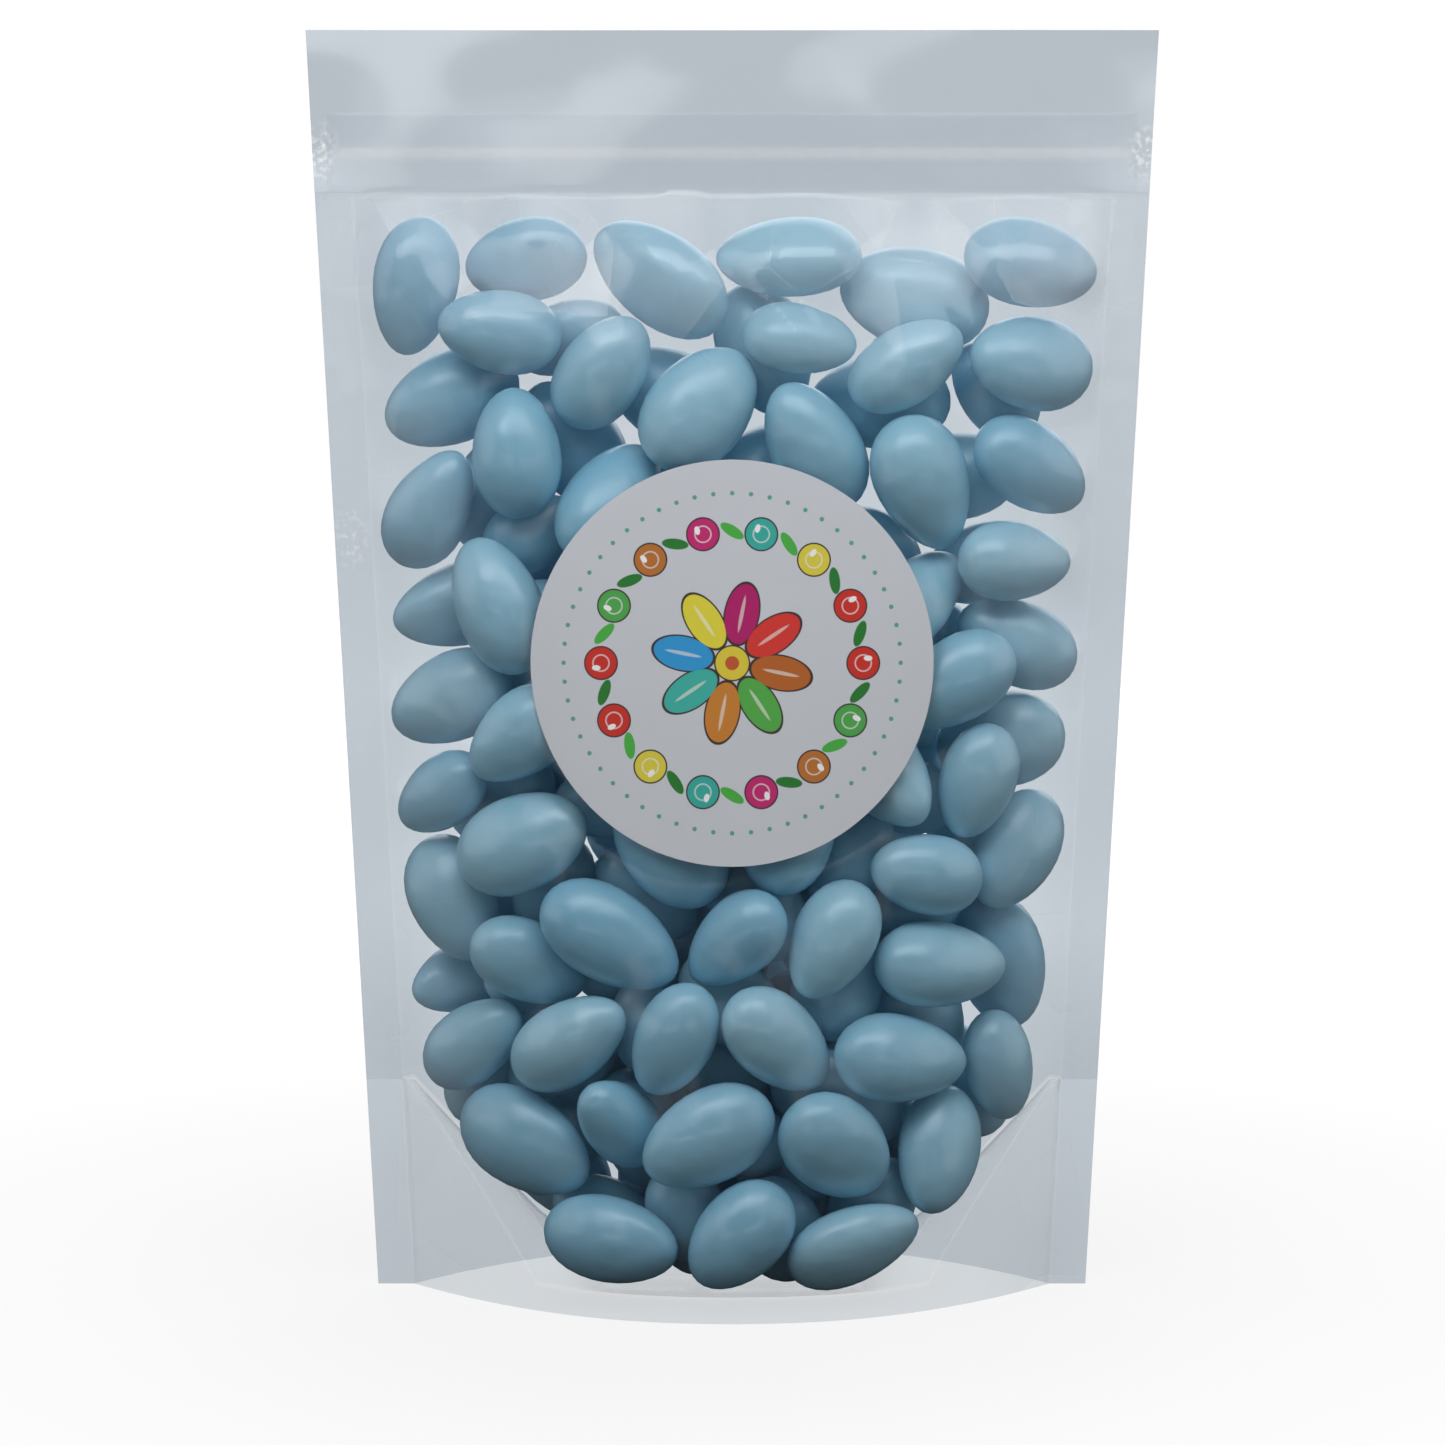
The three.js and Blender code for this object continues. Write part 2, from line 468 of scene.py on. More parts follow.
    def _relax(self, scale: float, drift: float) -> Array:
        """Moves all almonds one step.

        Args:
            scale: The share of their full size that they have now.
            drift: How strongly they still sink, and press outward, from 1 to 0.

        Returns:
            How deep each almond overlapped another or a wall before the step.
        """
        moves, spins, crowding = self._pushes(self.matrices(scale), self.halves[:, 0] * scale)
        now = turn_matrices(self.turns)
        keep_lie = self.keep_lie * max(drift, self.least_lie)
        for axis in (0, 2):
            spins += keep_lie * np.cross(now[:, :, axis], self.lies[:, :, axis])
        moves[:, 2] -= self.sink_step * drift
        moves[:, 1] += self.press_step * drift * self.layers
        length = np.maximum(np.linalg.norm(moves, axis=1, keepdims=True), TINY)
        self.centres += self.step_share * moves * np.minimum(1, self.most_move / length)
        x, z = self.centres[:, 0], np.clip(self.centres[:, 2], 0.0, self.form.closed)
        reach = self.form.belly_half(z) - self.side_room
        self.centres[:, 0] = np.clip(x, -reach, reach)
        spins = np.clip(self.step_share * spins, -self.most_spin, self.most_spin)
        self.turns = turned_by(self.turns, spins)
        return crowding

    def _pushes(self, shapes: Array, reach: Array) -> tuple[Array, Array, Array]:
        """Finds how the almonds' overlaps and the walls push them.

        Args:
            shapes: The ellipsoids' matrices.
            reach: Their longest half axes.

        Returns:
            The moves and the spins that end the overlaps, and how deep each almond overlaps
            another or a wall.
        """
        apart = self.centres[None] - self.centres[:, None]
        near = np.linalg.norm(apart, axis=2) < reach[:, None] + reach[None]
        first, second = np.nonzero(np.triu(near, 1))
        gap = apart[first, second]
        touch = closest_touch(gap, shapes[first], shapes[second])
        along = np.einsum("ni,ni->n", gap, touch.normal)
        depth = np.where(touch.closeness < 1, (1 / touch.closeness - 1) * along, 0.0)
        crowding = np.zeros(self.count)
        np.maximum.at(crowding, first, depth)
        np.maximum.at(crowding, second, depth)
        moves = np.zeros_like(self.centres)
        spins = np.zeros_like(self.centres)
        spin_ease = 1 / (self.turn_weight * self.half_axes[1] ** 2)
        arms = (touch.arm, touch.arm - gap)
        levers = [np.cross(arm, touch.normal) for arm in arms]
        ease = 2 + spin_ease * sum(np.sum(lever**2, axis=1) for lever in levers)
        push = (depth / ease)[:, None]
        for side, index, lever in ((-1, first, levers[0]), (1, second, levers[1])):
            np.add.at(moves, index, side * push * touch.normal)
            np.add.at(spins, index, side * spin_ease * push * lever)
        for arm, normal, depth_out in self._walls(shapes):
            crowding = np.maximum(crowding, depth_out)
            lever = np.cross(arm, normal)
            push = (depth_out / (1 + spin_ease * np.sum(lever**2, axis=1)))[:, None]
            moves -= push * normal
            spins -= spin_ease * push * lever
        return moves, spins, crowding

    def _walls(self, shapes: Array) -> list[tuple[Array, Array, Array]]:
        """Finds where the almonds reach through the faces, the floor and the closing.

        Args:
            shapes: The ellipsoids' matrices.

        Returns:
            For each wall the arms to the furthest points, the outward normals, and how far
            out each almond reaches.
        """
        probes = np.eye(3) * self.probe
        faces = [partial(self._face_gap, face) for face in Face]
        found = []
        for gap in (*faces, self._floor_gap, self._top_gap):
            point = self.centres
            for _ in range(2):
                rises = [gap(point + offset) - gap(point - offset) for offset in probes]
                slope = np.stack(rises, axis=1) / (2 * self.probe)
                steep = np.linalg.norm(slope, axis=1, keepdims=True)
                normal = slope / np.maximum(steep, TINY)
                toward = np.einsum("nij,nj->ni", shapes, normal)
                arm = toward / np.sqrt(np.einsum("ni,ni->n", normal, toward))[:, None]
                point = self.centres + arm
            out = np.maximum(0.0, gap(point)) / np.maximum(steep[:, 0], TINY)
            found.append((arm, normal, out))
        return found

    def _face_gap(self, face: Face, point: Array) -> Array:
        """Measures how far points lie outside a face.

        Args:
            face: The face.
            point: The points.

        Returns:
            The distances along Y.
        """
        x, y, z = point.T
        z = np.clip(z, 0.0, self.form.closed)
        limit = self.form.crown(x, z, face) - self.film_clearance
        return face.value * y - limit

    def _floor_gap(self, point: Array) -> Array:
        """Returns how far points lie below the opened gusset."""
        x, y, z = point.T
        return self.form.floor(x, y) + self.film_clearance - z

    def _top_gap(self, point: Array) -> Array:
        """Returns how far points lie above the closing."""
        return point[:, 2] - self.ceiling


def math_operator(operation: str, reflected: bool = False) -> Callable[["Wire", Any], "Wire"]:
    """Makes one of Wire's operators, which adds a Math node.

    Args:
        operation: The node's operation.
        reflected: Whether the other value comes first.

    Returns:
        The operator's method.
    """

    def method(wire: "Wire", other: Union["Wire", float]) -> "Wire":
        """Returns the node's result."""
        values = (other, wire) if reflected else (wire, other)
        return wire.graph.add("ShaderNodeMath", {"operation": operation}, dict(enumerate(values)))

    return method


@dataclass(frozen=True)
class Wire:
    """A shader value that adds Math nodes where it is used in an expression."""

    graph: "Graph"
    socket: bpy.types.NodeSocket

    def math(self, operation: str, *values: Union["Wire", float]) -> "Wire":
        """Returns the result of a Math node on this value and others, in order."""
        return self.graph.add("ShaderNodeMath", {"operation": operation}, dict(enumerate((self, *values))))

    def at_least(self, other: Union["Wire", float]) -> "Wire":
        """Returns the greater of the two values."""
        return self.math("MAXIMUM", other)

    __add__ = __radd__ = math_operator("ADD")
    __sub__ = math_operator("SUBTRACT")
    __rsub__ = math_operator("SUBTRACT", reflected=True)
    __mul__ = __rmul__ = math_operator("MULTIPLY")
    __truediv__ = math_operator("DIVIDE")
    __pow__ = math_operator("POWER")

    def clamped(self) -> "Wire":
        """Returns the value kept from 0 to 1."""
        return self.graph.add("ShaderNodeClamp", {}, {"Value": self})

    def size(self) -> "Wire":
        """Returns the value without its sign."""
        return self.math("ABSOLUTE")

    def below(self, edge: Union["Wire", float], softness: float) -> "Wire":
        """Returns 1 where the value is below an edge and 0 above it, with a soft step."""
        return ((edge - self) / softness + 0.5).clamped()


class Graph:
    """The nodes of a material or a world."""

    def __init__(self, owner: Union[bpy.types.Material, bpy.types.World]) -> None:
        """Empties the owner's nodes.

        Args:
            owner: The material or world.
        """
        self.owner = owner
        self.owner.use_nodes = True
        self.tree = self.owner.node_tree
        self.tree.nodes.clear()

    def add(
        self,
        kind: str,
        settings: Optional[dict[str, Any]] = None,
        values: Optional[dict[Union[str, int], Any]] = None,
        output: Union[str, int] = 0,
    ) -> Wire:
        """Adds a node.

        Args:
            kind: The node's type.
            settings: Its settings, set first. The entry "stops" holds a ramp's stops.
            values: The values or wires of its sockets, by name or number.
            output: The socket that the result comes from.

        Returns:
            The node's result.
        """
        node = self.tree.nodes.new(kind)
        for name, setting in (settings or {}).items():
            if name == "stops":
                self._set_stops(node.color_ramp, setting)
            else:
                setattr(node, name, setting)
        for key, value in (values or {}).items():
            if isinstance(value, Wire):
                self.tree.links.new(value.socket, node.inputs[key])
            else:
                node.inputs[key].default_value = value
        return Wire(self, node.outputs[output])

    @staticmethod
    def _set_stops(ramp: bpy.types.ColorRamp, stops: list[tuple[float, Colour]]) -> None:
        """Sets a ramp's stops.

        Args:
            ramp: The ramp.
            stops: Each stop's place and colour.
        """
        while len(ramp.elements) < len(stops):
            ramp.elements.new(1.0)
        for element, (place, colour) in zip(ramp.elements, stops):
            element.position = place
            element.color = (*colour, 1.0)

    def mix(self, share: Union[Wire, float], low: Any, high: Any) -> Wire:
        """Mixes two colours.

        Args:
            share: How much of the second one there is.
            low: The first colour, a wire or three numbers.
            high: The second colour.

        Returns:
            The mixed colour.
        """
        low, high = (c if isinstance(c, Wire) else (*c, 1.0) for c in (low, high))
        values = {0: share, 6: low, 7: high}
        return self.add("ShaderNodeMix", {"data_type": "RGBA"}, values, output=2)

    def shader_mix(self, share: Union[Wire, float], low: Wire, high: Wire) -> Wire:
        """Returns a Mix Shader of two shaders."""
        return self.add("ShaderNodeMixShader", {}, {0: share, 1: low, 2: high})

    def lobe(self, kind: str, colour: Colour = (1.0, 1.0, 1.0), **values: Any) -> Wire:
        """Returns a plain shader of a kind and colour, with its other values by name."""
        return self.add(f"ShaderNodeBsdf{kind}", {}, {"Color": (*colour, 1.0), **values})

    def place(self) -> Wire:
        """Returns the Object coordinates."""
        return self.add("ShaderNodeTexCoord", output="Object")

    def mark(self, name: str) -> Wire:
        """Returns the piece's own attribute of a name."""
        return self.add("ShaderNodeAttribute", {"attribute_name": name}, output="Fac")

    def seen(self) -> Wire:
        """Returns 1 where the camera looks, also through clear film, and 0 for all other light."""
        return self.add("ShaderNodeLightPath", output="Is Camera Ray")

    def facing(self, **values: Any) -> Wire:
        """Returns 0 where the surface is looked at squarely, rising to 1 at its rims."""
        return self.add("ShaderNodeLayerWeight", {}, {"Blend": 0.5, **values}, output="Facing")

    def flat_place(self, x: Wire, y: Wire) -> Wire:
        """Returns a place on a flat sheet."""
        return self.add("ShaderNodeCombineXYZ", {}, {"X": x, "Y": y})

    def axes(self, place: Wire) -> tuple[Wire, Wire, Wire]:
        """Takes a place apart.

        Args:
            place: The place.

        Returns:
            Its three coordinates.
        """
        first = self.add("ShaderNodeSeparateXYZ", {}, {0: place})
        outputs = first.socket.node.outputs
        return first, Wire(self, outputs[1]), Wire(self, outputs[2])

    def noise(
        self,
        place: Wire,
        grain: float,
        detail: float = 2.0,
        roughness: float = 0.5,
        dimensions: str = "3D",
    ) -> Wire:
        """Returns a noise from 0 to 1.

        Args:
            place: The coordinates that it is read at, in metres.
            grain: How far apart its spots lie, in metres.
            detail: How many finer layers it has.
            roughness: How strong the finer layers are.
            dimensions: How many of the coordinates it reads.

        Returns:
            The noise.
        """
        values = {"Vector": place, "Scale": 1 / grain, "Detail": detail, "Roughness": roughness}
        return self.add("ShaderNodeTexNoise", {"noise_dimensions": dimensions}, values, output=0)

    def sheet_noise(self, sheet: Wire, grain: float, detail: float = 0.0, roughness: float = 0.4) -> Wire:
        """Returns a noise from 0 to 1 that reads the first two coordinates of a flat sheet."""
        return self.noise(sheet, grain, detail, roughness, "2D")

    def bump(self, height: Wire, distance: float, strength: float = 1.0) -> Wire:
        """Returns the normal of a relief that is distance metres high at a height of 1."""
        values = {"Height": height, "Distance": distance, "Strength": strength}
        return self.add("ShaderNodeBump", {}, values)

    def finish(self, surface: Wire) -> Union[bpy.types.Material, bpy.types.World]:
        """Puts the surface on the output.

        Args:
            surface: The shader of the surface.

        Returns:
            The material or world.
        """
        air = isinstance(self.owner, bpy.types.World)
        output = self.tree.nodes.new("ShaderNodeOutputWorld" if air else "ShaderNodeOutputMaterial")
        self.tree.links.new(surface.socket, output.inputs["Surface"])
        return self.owner


@dataclass(frozen=True)
class SugarShell:
    """The almonds' smooth satin shell of pale blue sugar."""

    light: Colour = (0.47, 0.77, 0.89)
    deep: Colour = (0.29, 0.61, 0.79)
    roughness: float = 0.36
    shine: float = 0.9
    polish: float = 0.35
    polish_roughness: float = 0.2
    mottle_grain: float = 3.5 * MM
    dimple_grain: float = 5 * MM
    dimple_depth: float = 0.35 * MM

    def build(self) -> bpy.types.Material:
        """Builds the finish.

        Returns:
            The material.
        """
        graph = Graph(bpy.data.materials.new("sugar shell"))
        place = graph.place()
        tone = graph.mark("tone")
        mottle = graph.noise(place, self.mottle_grain, detail=3.0)
        share = (tone * 0.75 + mottle * 0.5 - 0.12).clamped()
        dimples = graph.noise(place, self.dimple_grain, detail=1.5)
        values = {
            "Base Color": graph.mix(share, self.light, self.deep),
            "Roughness": (mottle * 0.12 + (self.roughness - 0.06)),
            "Normal": graph.bump(dimples, self.dimple_depth),
            "Specular IOR Level": self.shine,
            "Coat Weight": self.polish,
            "Coat Roughness": self.polish_roughness,
        }
        return graph.finish(graph.add("ShaderNodeBsdfPrincipled", {}, values))


@dataclass(frozen=True)
class FilmPlace:
    """A place on the film, in wires: where it lies, and what it is part of, from 0 to 1."""

    across: Wire
    up: Wire
    sheet: Wire
    front: Wire
    belly: Wire
    top: Wire
    side_seal: Wire
    low_corner: Wire
    seal_line: Wire

    def inner(self) -> Wire:
        """Returns 1 on the belly above the gusset's seal."""
        return (1 - self.low_corner) * self.belly

    def mostly_front(self) -> Wire:
        """Returns 1 on the front panel, and little on the back one."""
        return self.front * 0.7 + 0.3


@dataclass(frozen=True)
class ClearFilm:
    """The pouch's clear glossy film, a little hazy where layers are sealed, with painted reflections,
    highlights and glints where it is crumpled or crushed, at its sides and near the top.

    A tint is what one layer lets through: thin film the first, dense film the flat one, and seal lines the
    bright one, which also paints the highlight along the zip's rib and the glints at crushed film.
    """

    form: PouchForm
    name: str = "clear film"
    tint: Colour = (0.79, 0.82, 0.845)
    flat_tint: Colour = (0.72, 0.755, 0.79)
    # The brightest tint, also used to paint the rib's highlight and the glints.
    seal_line_and_highlight_tint: Colour = (0.93, 0.93, 0.925)
    # Colour of the diffuse haze: the sealed film's own haze and the painted reflections and sheen.
    haze_and_painted_sheen_colour: Colour = (0.81, 0.87, 0.93)
    # Share of the faint cloud patches, a painted reflection.
    haze: float = 0.01
    seal_haze: float = 0.04
    line_haze: float = 0.15
    line_half: float = 0.35 * MM
    facing_gloss: float = 0.018
    flat_gloss: float = 0.055
    roughness: float = 0.09
    edge_gloss: float = 0.95
    bend_calm: float = 0.6
    wave_grain: float = 13 * MM
    flat_wave_grain: float = 30 * MM
    wave_height: float = 0.30 * MM
    flat_wave_height: float = 0.65 * MM
    # Whether the crumpled film's painted reflections, highlight streaks and glints are drawn.
    crumpled: bool = True
    # Grain of the cloud patches of painted reflection.
    painted_cloud_grain: float = 30 * MM
    patch_grain: float = 10 * MM
    # Grain and share of the facets' painted reflection.
    facet_grain: float = 19 * MM
    facet_painted_reflection: float = 0.27
    top_density: float = 0.35
    belly_density: float = 0.15
    side_density: float = 0.6
    back_density: float = 0.8
    # Painted reflection of the white walls at the steep sides, and painted sheen at the top.
    side_painted_reflection: float = 0.12
    top_painted_sheen: float = 0.11
    # Pale highlight streaks painted under the zip.
    pulled_grain: float = 9 * MM
    pulled_squeeze: float = 0.12
    pulled_highlight: float = 0.08
    # Crease lines: partly the film's own whitening, partly a painted highlight.
    crease_haze_and_highlight: float = 0.08
    crease_half: float = 0.18 * MM
    # Grain of the painted glints.
    glint_grain: float = 1.1 * MM
    zip_height: float = 217 * MM
    rib_half_height: float = 1.1 * MM
    # Painted highlight along the zip's rib.
    rib_painted_highlight: float = 0.3
    line_brightness: float = 0.8
    # Where a patch of painted glints lies, at one side.
    glint_spot: tuple[float, float] = (-72 * MM, 144 * MM)
    crushed_from: float = 7 * MM
    crushed_reach: float = 4 * MM

    def build(self) -> bpy.types.Material:
        """Builds the finish.

        Returns:
            The material.
        """
        graph = Graph(bpy.data.materials.new(self.name))
        at = self._place(graph)
        haze = self._haze(graph, at)
        bright = self._rib_highlight_and_seal_lines(at)
        # The crumpled film's painted reflections, the painted highlight streaks under the zip and the
        # painted glints.
        if self.crumpled:
            haze = haze + self._crumple_reflections(graph, at) * at.mostly_front() + self._pulled_highlights(graph, at)
            bright = bright.at_least(self._painted_glints(graph, at))
        normal = graph.bump(self._relief(graph, at), self.wave_height)
        # The third, brightest tint carries the seal lines, the rib's painted highlight and the painted
        # glints.
        thin, dense, light = (
            graph.lobe("Transparent", colour) for colour in (self.tint, self.flat_tint, self.seal_line_and_highlight_tint)
        )
        clear = graph.shader_mix(bright.clamped(), graph.shader_mix(self._density(at), thin, dense), light)
        # The diffuse haze holds the sealed film's own haze and the painted reflections, sheen and
        # highlight streaks.
        body = graph.shader_mix(haze.clamped(), clear, graph.lobe("Diffuse", self.haze_and_painted_sheen_colour))
        gloss = graph.lobe("Glossy", Roughness=self.roughness, Normal=normal)
        return graph.finish(graph.shader_mix(self._shine(at, graph.facing(Normal=normal)), body, gloss))

    def _place(self, graph: Graph) -> FilmPlace:
        """Finds where a place lies on the film, with its two panels laid flat side by side.

        Args:
            graph: The material's nodes.

        Returns:
            The place on the film.
        """
        form = self.form
        x, _, up = graph.axes(graph.place())
        front = graph.mark("front")
        across = x.size()
        half_seal = form.base_width / 2 - form.side_seal
        lean = (form.top_width - form.base_width) / 2 / form.height
        inner_edge = up * lean + half_seal
        side = across.below(inner_edge, 0.2 * MM)
        side_line = (across - inner_edge).size().below(self.line_half, 0.3 * MM)
        outward = ((across - form.gusset_level_half) / (half_seal - form.gusset_level_half)).clamped()
        seam = (outward**form.gusset_seal_bend) * (form.gusset_height - form.skirt_seal) + form.skirt_seal
        low_line = (up - seam).size().below(self.line_half * 1.4, 0.3 * MM) * side
        return FilmPlace(
            across=across,
            up=up,
            sheet=graph.flat_place(x + front * form.top_width, up),
            front=front,
            belly=up.below(form.closed, 1.5 * MM),
            top=1 - up.below(form.closed - 26 * MM, 20 * MM),
            side_seal=1 - side,
            low_corner=up.below(seam, 0.3 * MM),
            seal_line=(side_line * 0.12).at_least(low_line),
        )

    def _haze(self, graph: Graph, at: FilmPlace) -> Wire:
        """Finds the smooth film's haze: faint cloud patches of painted reflection, the seals' own haze and
        lines, a painted reflection of the white walls at the steep sides, and a painted sheen at the top.

        Args:
            graph: The material's nodes.
            at: The place on the film.

        Returns:
            The share of haze, partly the film's own and partly painted reflection and sheen.
        """
        # Cloud patches of painted reflection.
        painted_reflection_clouds = graph.sheet_noise(at.sheet, self.painted_cloud_grain)
        seals = at.side_seal.at_least(at.low_corner) * self.seal_haze
        lines = at.seal_line * at.mostly_front() * self.line_haze
        # Painted reflection of the white walls at the steep sides, and a painted sheen over the top.
        flank_for_painted_reflection = 1 - at.across.below(self.form.base_width / 2 - 14 * MM, 22 * MM)
        painted_veil = (flank_for_painted_reflection * self.side_painted_reflection).at_least(at.top * self.top_painted_sheen)
        return painted_reflection_clouds * self.haze + (seals + lines) * at.belly + painted_veil * at.inner() * (painted_reflection_clouds * 1.4 + 0.3)

    def _density(self, at: FilmPlace) -> Wire:
        """Finds the film's density: thin on the belly, denser behind it, at seals and the header.

        Args:
            at: The place on the film.

        Returns:
            The share of dense film.
        """
        density = at.top * self.top_density + self.belly_density
        density = density.at_least((1 - at.front) * self.back_density)
        density = density * at.inner() * (1 - at.side_seal)
        return density.at_least(at.side_seal * self.side_density).at_least(1 - at.belly)

    def _rib_highlight_and_seal_lines(self, at: FilmPlace) -> Wire:
        """Finds how bright the seals' edges are, and paints a soft highlight along the zip's rib, as if it
        scattered light from behind.

        Args:
            at: The place on the film.

        Returns:
            The share of bright film: the seal lines and the rib's painted highlight.
        """
        ends = at.across.below(self.form.base_width / 2 + self.crushed_from, 2 * MM)
        # Painted highlight: the rib lets more of the white background through, as if lit from behind.
        rib = (at.up - self.zip_height).size().below(self.rib_half_height, 0.9 * MM) * ends
        return (rib * self.rib_painted_highlight).at_least(at.seal_line * at.belly * self.line_brightness)

    def _relief(self, graph: Graph, at: FilmPlace) -> Wire:
        """Finds the belly's small waves and the header's slow ones.

        Args:
            graph: The material's nodes.
            at: The place on the film.

        Returns:
            The height of the waves, in parts of wave_height.
        """
        small = graph.sheet_noise(at.sheet, self.wave_grain, detail=1.0) * at.belly
        slow = graph.sheet_noise(at.sheet, self.flat_wave_grain) * (1 - at.belly)
        return small + slow * (self.flat_wave_height / self.wave_height)

    def _shine(self, at: FilmPlace, facing: Wire) -> Wire:
        """Finds the gloss: more at the rims and on the header, less at the bend below it.

        Args:
            at: The place on the film.
            facing: How far the film turns away from the viewer, from 0 to 1.

        Returns:
            The share of gloss.
        """
        least = (1 - at.belly) * (self.flat_gloss - self.facing_gloss) + self.facing_gloss
        bend = (at.up - (self.form.closed - 2 * MM)).size().below(3 * MM, 3 * MM)
        return ((facing**FRESNEL_POWER) * self.edge_gloss + least) * (1 - bend * self.bend_calm)

    def _pulled_highlights(self, graph: Graph, at: FilmPlace) -> Wire:
        """Paints pale highlight streaks along the film that is pulled into long strands under the zip.

        Args:
            graph: The material's nodes.
            at: The place on the film.

        Returns:
            The painted highlight that the strands add, as haze.
        """
        across, up, _ = graph.axes(at.sheet)
        drawn_long = graph.flat_place(across, up * self.pulled_squeeze)
        # Painted highlight streaks along the pulled film.
        strands = 1 - graph.sheet_noise(drawn_long, self.pulled_grain).below(0.55, 0.3)
        under_zip = 1 - at.up.below(self.form.closed - 10 * MM, 8 * MM)
        return strands * under_zip * at.inner() * self.pulled_highlight

    def _crumple_reflections(self, graph: Graph, at: FilmPlace) -> Wire:
        """Paints light on the crumpled film: each flat facet carries a painted reflection, and fine
        creases between them are partly the film's own whitening, partly a painted highlight.

        Args:
            graph: The material's nodes.
            at: The place on the film.

        Returns:
            The painted reflections and crease lines that the crumpling adds, as haze.
        """
        half = self.form.base_width / 2
        sides = 1 - at.across.below(half - 16 * MM, 14 * MM)
        sides = sides * at.across.below(half - 2 * MM, 8 * MM)
        belly = at.up.below(self.form.closed, 2 * MM)
        where = (at.top.at_least(sides * 0.4) * belly).clamped()
        cell = {"Vector": at.sheet, "Scale": 1 / self.facet_grain}
        readings = (("F1", "Color"), ("F1", "Position"), ("DISTANCE_TO_EDGE", "Distance"))
        colours, cores, borders = (
            graph.add("ShaderNodeTexVoronoi", {"voronoi_dimensions": "2D", "feature": kind}, cell, output)
            for kind, output in readings
        )
        tone, shade, _ = graph.axes(colours)
        core_x, core_y, _ = graph.axes(cores)
        sheet_x, sheet_y, _ = graph.axes(at.sheet)
        # Each facet is lighter towards one side, as if lit from there: a painted reflection.
        light_side_fade = ((sheet_x - core_x) * 0.6 - (sheet_y - core_y) * 0.8) / self.facet_grain
        painted_facets = (1 - tone.below(0.6, 0.02)) * (light_side_fade * 1.2 + 0.35).clamped() * (shade * 0.6 + 0.4)
        kept = 1 - graph.sheet_noise(at.sheet, self.patch_grain).below(0.6, 0.08)
        # Crease lines: partly the film's own whitening, partly a painted highlight.
        creases = (borders * self.facet_grain).below(self.crease_half, 0.2 * MM) * kept
        return (painted_facets * self.facet_painted_reflection + creases * self.crease_haze_and_highlight) * where

    def _painted_glints(self, graph: Graph, at: FilmPlace) -> Wire:
        """Paints glints as bright flecks where the film is crushed: at the zip's ends and in a spot at one
        side.

        Args:
            graph: The material's nodes.
            at: The place on the film.

        Returns:
            How bright the painted glints make each place.
        """
        ends = 1 - at.across.below(self.form.base_width / 2 + self.crushed_from, 3 * MM)
        ends = ends * (at.up - self.zip_height).size().below(self.crushed_reach, 5 * MM)
        glint_x, glint_z = self.glint_spot
        laid, _, _ = graph.axes(at.sheet)
        spot = (laid - (self.form.top_width + glint_x)).size().below(2.5 * MM, 3 * MM)
        spot = spot * (at.up - glint_z).size().below(4 * MM, 9 * MM)
        grains = graph.sheet_noise(at.sheet, self.glint_grain)
        # Painted glints.
        return (1 - grains.below(0.62, 0.16)) * (ends + spot)


@dataclass(frozen=True)
class ZipPlastic:
    """The zip's clear, slightly milky plastic."""

    tint: Colour = (0.985, 0.99, 0.995)
    milk: Colour = (0.96, 0.975, 1.0)
    milkiness: float = 0.015
    streak_grain: float = 6 * MM
    rib_milkiness: float = 0.12
    sheen: Colour = (0.8, 0.8, 0.8)
    roughness: float = 0.22
    facing_gloss: float = 0.02
    edge_gloss: float = 0.5

    def build(self) -> bpy.types.Material:
        """Builds the finish.

        Returns:
            The material.
        """
        graph = Graph(bpy.data.materials.new("zip plastic"))
        rib = graph.mark("rib")
        streaks = graph.noise(graph.place(), self.streak_grain, detail=2.0)
        share = (rib * self.rib_milkiness + streaks * self.milkiness).clamped()
        clear, milky = graph.lobe("Transparent", self.tint), graph.lobe("Diffuse", self.milk)
        body = graph.shader_mix(share, clear, milky)
        gloss = graph.lobe("Glossy", self.sheen, Roughness=self.roughness)
        shine = (graph.facing() ** FRESNEL_POWER) * self.edge_gloss + self.facing_gloss
        return graph.finish(graph.shader_mix(shine, body, gloss))


